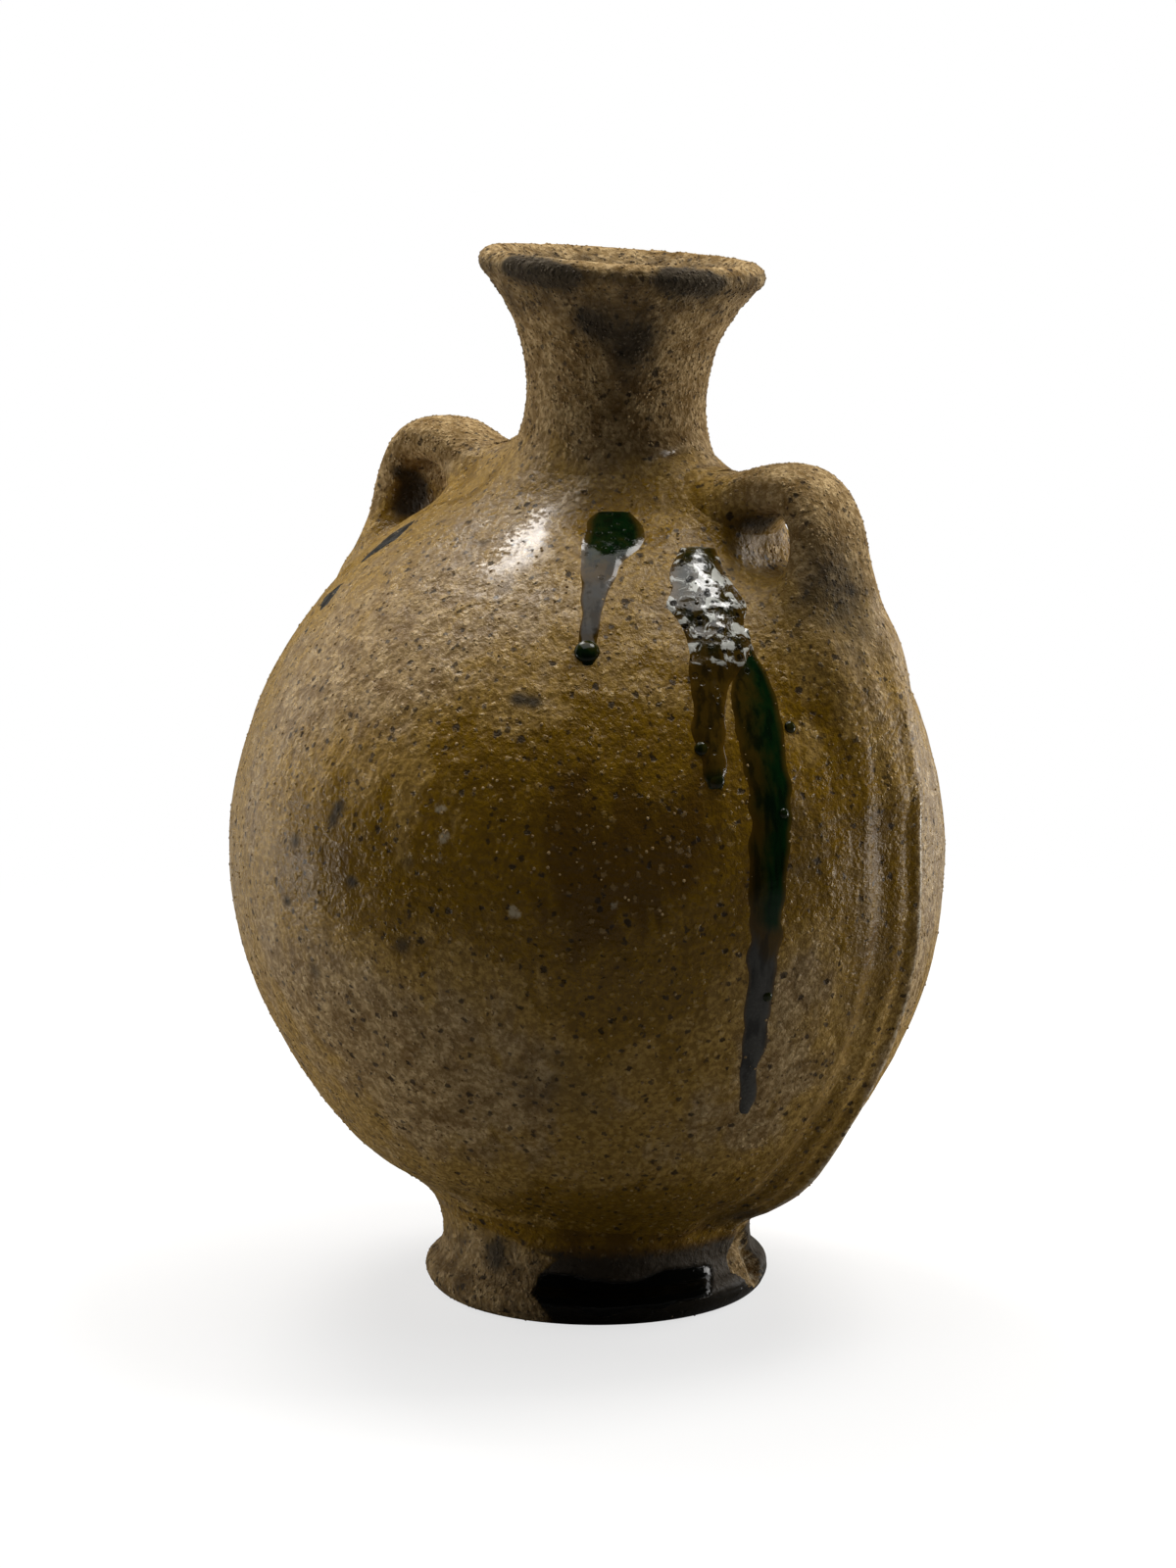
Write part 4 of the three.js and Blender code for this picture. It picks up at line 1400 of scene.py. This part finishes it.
def build_runs(jug):
    """The raised glaze: three runs on the front, a streak on the side, and beads."""
    pieces = bpy.data.objects
    body = search_tree(pieces["front_bowl_clay"].data, pieces["rear_bowl_clay"].data)
    height = jug.finish.run_height
    glass = finish_named(jug, "run_glass", glass_finish)
    none = ((0, 0), (PHOTO_HEIGHT, 0))
    runs = (
        ("centre_run", CENTRE_RUN, height * 0.7, ((520, 0.1), (565, 0.2), (600, 0.85), (645, 0.8), (660, 0.2)),
         ((520, 0.3), (575, 0.1), (620, 0)), 0),
        ("crust_run", CRUST_RUN, height * 1.1, ((556, 0.3), (660, 0.4), (690, 0.55), (780, 0.5), (800, 0.1)),
         ((556, 0.9), (650, 1), (672, 0.8), (695, 0.1)), 0),
        ("green_run", GREEN_RUN, height * 0.5, ((640, 0.1), (940, 0.1), (985, 0.9), (1138, 1)),
         ((640, 0.9), (670, 0.6), (700, 0)), 0.35),
        ("side_streak", SIDE_STREAK, height * 0.5, ((512, 0.95), (648, 0.95)), none, 0),
    )
    for name, outline, lift, tints, crusts, olive in runs:
        mesh = run_mesh(jug, name, outline, body, lift, tints, crusts, olive)
        mesh.materials.append(glass)
        deliver(new_object(name, mesh))
    beads = bead_mesh(jug, "glaze_beads", body, BEADS)
    beads.materials.append(glass)
    deliver(new_object("glaze_beads", beads))


def build_grit(jug):
    """Grains that stand out of the clay, and bubbles in the crusted glaze."""
    grain = finish_named(jug, "bare_grains", grit_finish)
    glass = finish_named(jug, "run_glass", glass_finish)
    beds = (
        ("front_bowl_clay", "front_grit", "body_glaze", 260000.0, 0.15, 0.0005, "bare", grain, 3),
        ("rear_bowl_clay", "rear_grit", "body_glaze", 260000.0, 0.12, 0.0005, "bare", grain, 4),
        ("neck_clay", "neck_grit", "neck_clay", 260000.0, 0.15, 0.0005, "bare", grain, 5),
        ("left_handle_clay", "left_grit", "handle_clay", 260000.0, 0.15, 0.0005, "bare", grain, 6),
        ("right_handle_clay", "right_grit", "handle_clay", 260000.0, 0.15, 0.0005, "bare", grain, 7),
        ("foot_ring_clay", "foot_grit", "foot_clay", 160000.0, 0.1, 0.0004, "bare", grain, 8),
        ("crust_run", "crust_bubbles", "body_glaze", 40000.0, 0.0, 0.0007, "crust", glass, 9),
    )
    for bed, name, slot, density, least, largest, painted, material, seed in beds:
        piece = new_object(name, bpy.data.objects[bed].data.copy())
        sizes = {"Smallest": 0.15 * MM, "Largest": largest, "Flatness": 0.6}
        spread = {"Density": density, "Least": least, "Painted": painted, "Seed": seed}
        scatter_rule().use(piece, **sizes, **spread, Material=material)
        baked(piece)
        deliver(piece)


# --- stage ---


def add_lamp(name, place, aim, size, power, tone):
    """A soft square lamp that faces a point."""
    lamp = bpy.data.lights.new(name, "AREA")
    lamp.shape = "SQUARE"
    lamp.size = size
    lamp.energy = power
    lamp.color = tone
    holder = bpy.data.objects.new(name, lamp)
    holder.location = place
    holder.rotation_euler = (Vector(aim) - Vector(place)).to_track_quat("-Z", "Y").to_euler()
    bpy.context.scene.collection.objects.link(holder)


def floor_finish(stage):
    """A pale floor that keeps the jug's shadow and is white to the camera; the jug itself sees a dimmer one."""
    make = Finish("stage_floor")
    seen = make.node("ShaderNodeLightPath", None, None, "Is Camera Ray")
    cloth = make.noise(make.place, 300, 2.0)
    dim = tuple(0.3 * part for part in stage.floor)
    here = make.mix(seen + (cloth - 0.5) * 0.02, dim, stage.floor)
    make.set(Base_Color=here, Roughness=0.9 + (cloth - 0.5) * 0.1)
    glow = make.node("ShaderNodeEmission", None, {"Color": (1, 1, 1, 1), "Strength": 1.0})
    away = make.vector("LENGTH", make.place, (0, 0, 0), "Value").rise(200.0, 700.0)
    matte = Wire(make, make.shader.outputs[0])
    both = make.node("ShaderNodeMixShader", None, {0: seen * (0.7 + away * 0.3), 1: matte, 2: glow})
    output = make.tree.nodes["Material Output"]
    make.tree.links.new(both.socket, output.inputs["Surface"])
    return make.material


def build_stage(jug):
    """The floor, the world, the lamps and the camera."""
    stage = jug.stage
    scene = bpy.context.scene
    scene.view_settings.view_transform = "Standard"
    sides, radii = 64, (0.4, 1.5, 8)
    angle = np.linspace(0, 2 * math.pi, sides, endpoint=False)
    ring = np.column_stack((np.sin(angle), np.cos(angle), np.zeros(sides)))
    points = np.concatenate([ring * radius for radius in radii])
    faces = grid_faces(len(radii), sides).tolist() + [list(range(sides))]
    mesh = bpy.data.meshes.new("stage_floor")
    mesh.from_pydata(points.tolist(), [], faces)
    work = bmesh.new()
    work.from_mesh(mesh)
    for face in work.faces:
        face.normal_update()
        if face.normal.z < 0:
            face.normal_flip()
    work.to_mesh(mesh)
    work.free()
    mesh.materials.append(floor_finish(stage))
    new_object("stage_floor", mesh)
    world = bpy.data.worlds.new("stage_world")
    world.use_nodes = True
    bench = Bench(world.node_tree)
    background = world.node_tree.nodes["Background"]
    ray = bench.node("ShaderNodeLightPath", None, None, "Is Camera Ray")
    ambient = 0.02
    strength = ambient + ray * (1 - ambient)
    world.node_tree.links.new(strength.socket, background.inputs["Strength"])
    background.inputs["Color"].default_value = (1, 1, 1, 1)
    scene.world = world
    aim, low_aim = (0, 0, 0.15), (0, 0, 0.05)
    white, warm, warmer = (1.0, 0.985, 0.96), (1.0, 0.98, 0.95), (1.0, 0.97, 0.94)
    add_lamp("lamp_over", (-0.08, 0.06, 1.15), aim, 1.0, stage.top_light, white)
    add_lamp("lamp_high_left", (-0.51, 0.14, 1.05), aim, 0.35, stage.high_light, warmer)
    add_lamp("lamp_high_right", (0.22, 0.28, 1.12), aim, 0.35, stage.high_light, white)
    add_lamp("lamp_left", (-1.0, -0.2, 0.5), aim, 1.0, stage.left_light, warm)
    add_lamp("lamp_right", (0.35, 1.05, 0.42), aim, 0.9, stage.right_light, white)
    add_lamp("lamp_low_left", (-0.5, -0.43, 0.03), low_aim, 0.25, stage.low_light, warm)
    add_lamp("lamp_low_right", (0.47, 0.47, 0.06), aim, 0.25, stage.low_light, white)
    camera = bpy.data.cameras.new("camera")
    camera.sensor_fit = "AUTO"
    camera.sensor_width = SENSOR
    camera.lens = SENSOR * PHOTO_FOCAL / PHOTO_HEIGHT
    camera.clip_start = 0.05
    holder = bpy.data.objects.new("camera", camera)
    holder.matrix_world = camera_matrix(stage)
    scene.collection.objects.link(holder)
    scene.camera = holder


# --- operators ---


class JUG_OT_bowls(bpy.types.Operator):
    """Build the front and the rear bowl of the body"""

    bl_idname = "jug.bowls"
    bl_label = "Bowls"

    def execute(self, context):
        build_bowl(context.scene.jug, True)
        build_bowl(context.scene.jug, False)
        return {"FINISHED"}


class JUG_OT_neck(bpy.types.Operator):
    """Build the neck with its trumpet mouth"""

    bl_idname = "jug.neck"
    bl_label = "Neck"

    def execute(self, context):
        build_neck(context.scene.jug)
        return {"FINISHED"}


class JUG_OT_foot(bpy.types.Operator):
    """Build the foot ring with its chipped flange"""

    bl_idname = "jug.foot"
    bl_label = "Foot ring"

    def execute(self, context):
        build_foot(context.scene.jug)
        return {"FINISHED"}


class JUG_OT_handles(bpy.types.Operator):
    """Build the two loop handles"""

    bl_idname = "jug.handles"
    bl_label = "Handles"

    def execute(self, context):
        build_handles(context.scene.jug)
        return {"FINISHED"}


class JUG_OT_runs(bpy.types.Operator):
    """Lay the raised glaze runs and beads on the finished clay"""

    bl_idname = "jug.runs"
    bl_label = "Glaze runs"

    def execute(self, context):
        build_runs(context.scene.jug)
        return {"FINISHED"}


class JUG_OT_grit(bpy.types.Operator):
    """Scatter grains and bubbles over the finished pieces"""

    bl_idname = "jug.grit"
    bl_label = "Grit and bubbles"

    def execute(self, context):
        build_grit(context.scene.jug)
        return {"FINISHED"}


class JUG_OT_stage(bpy.types.Operator):
    """Set the floor, the lamps and the camera"""

    bl_idname = "jug.stage"
    bl_label = "Stage"

    def execute(self, context):
        build_stage(context.scene.jug)
        return {"FINISHED"}


class JUG_PT_panel(bpy.types.Panel):
    """Lists the jug's operators"""

    bl_idname = "JUG_PT_panel"
    bl_label = "Pottery Jug"
    bl_space_type = "VIEW_3D"
    bl_region_type = "UI"
    bl_category = "Jug"

    def draw(self, context):
        for name in OPERATORS:
            self.layout.operator(name)


OPERATORS = ("jug.bowls", "jug.neck", "jug.foot", "jug.handles", "jug.runs", "jug.grit", "jug.stage")
CLASSES = (
    *(JugBody, JugNeck, JugFoot, JugHandles, JugFinish, JugStage, JugSettings),
    *(JUG_OT_bowls, JUG_OT_neck, JUG_OT_foot, JUG_OT_handles, JUG_OT_runs, JUG_OT_grit, JUG_OT_stage),
    JUG_PT_panel,
)


def register():
    """Adds the classes and the settings to Blender."""
    for item in CLASSES:
        bpy.utils.register_class(item)
    bpy.types.Scene.jug = PointerProperty(type=JugSettings)


def unregister():
    """Takes the settings and the classes out of Blender."""
    del bpy.types.Scene.jug
    for item in reversed(CLASSES):
        bpy.utils.unregister_class(item)


def main():
    """Builds every piece and the stage."""
    register()
    bpy.ops.jug.bowls()
    bpy.ops.jug.neck()
    bpy.ops.jug.foot()
    bpy.ops.jug.handles()
    bpy.ops.jug.runs()
    bpy.ops.jug.grit()
    bpy.ops.jug.stage()


if __name__ == "__main__":
    main()
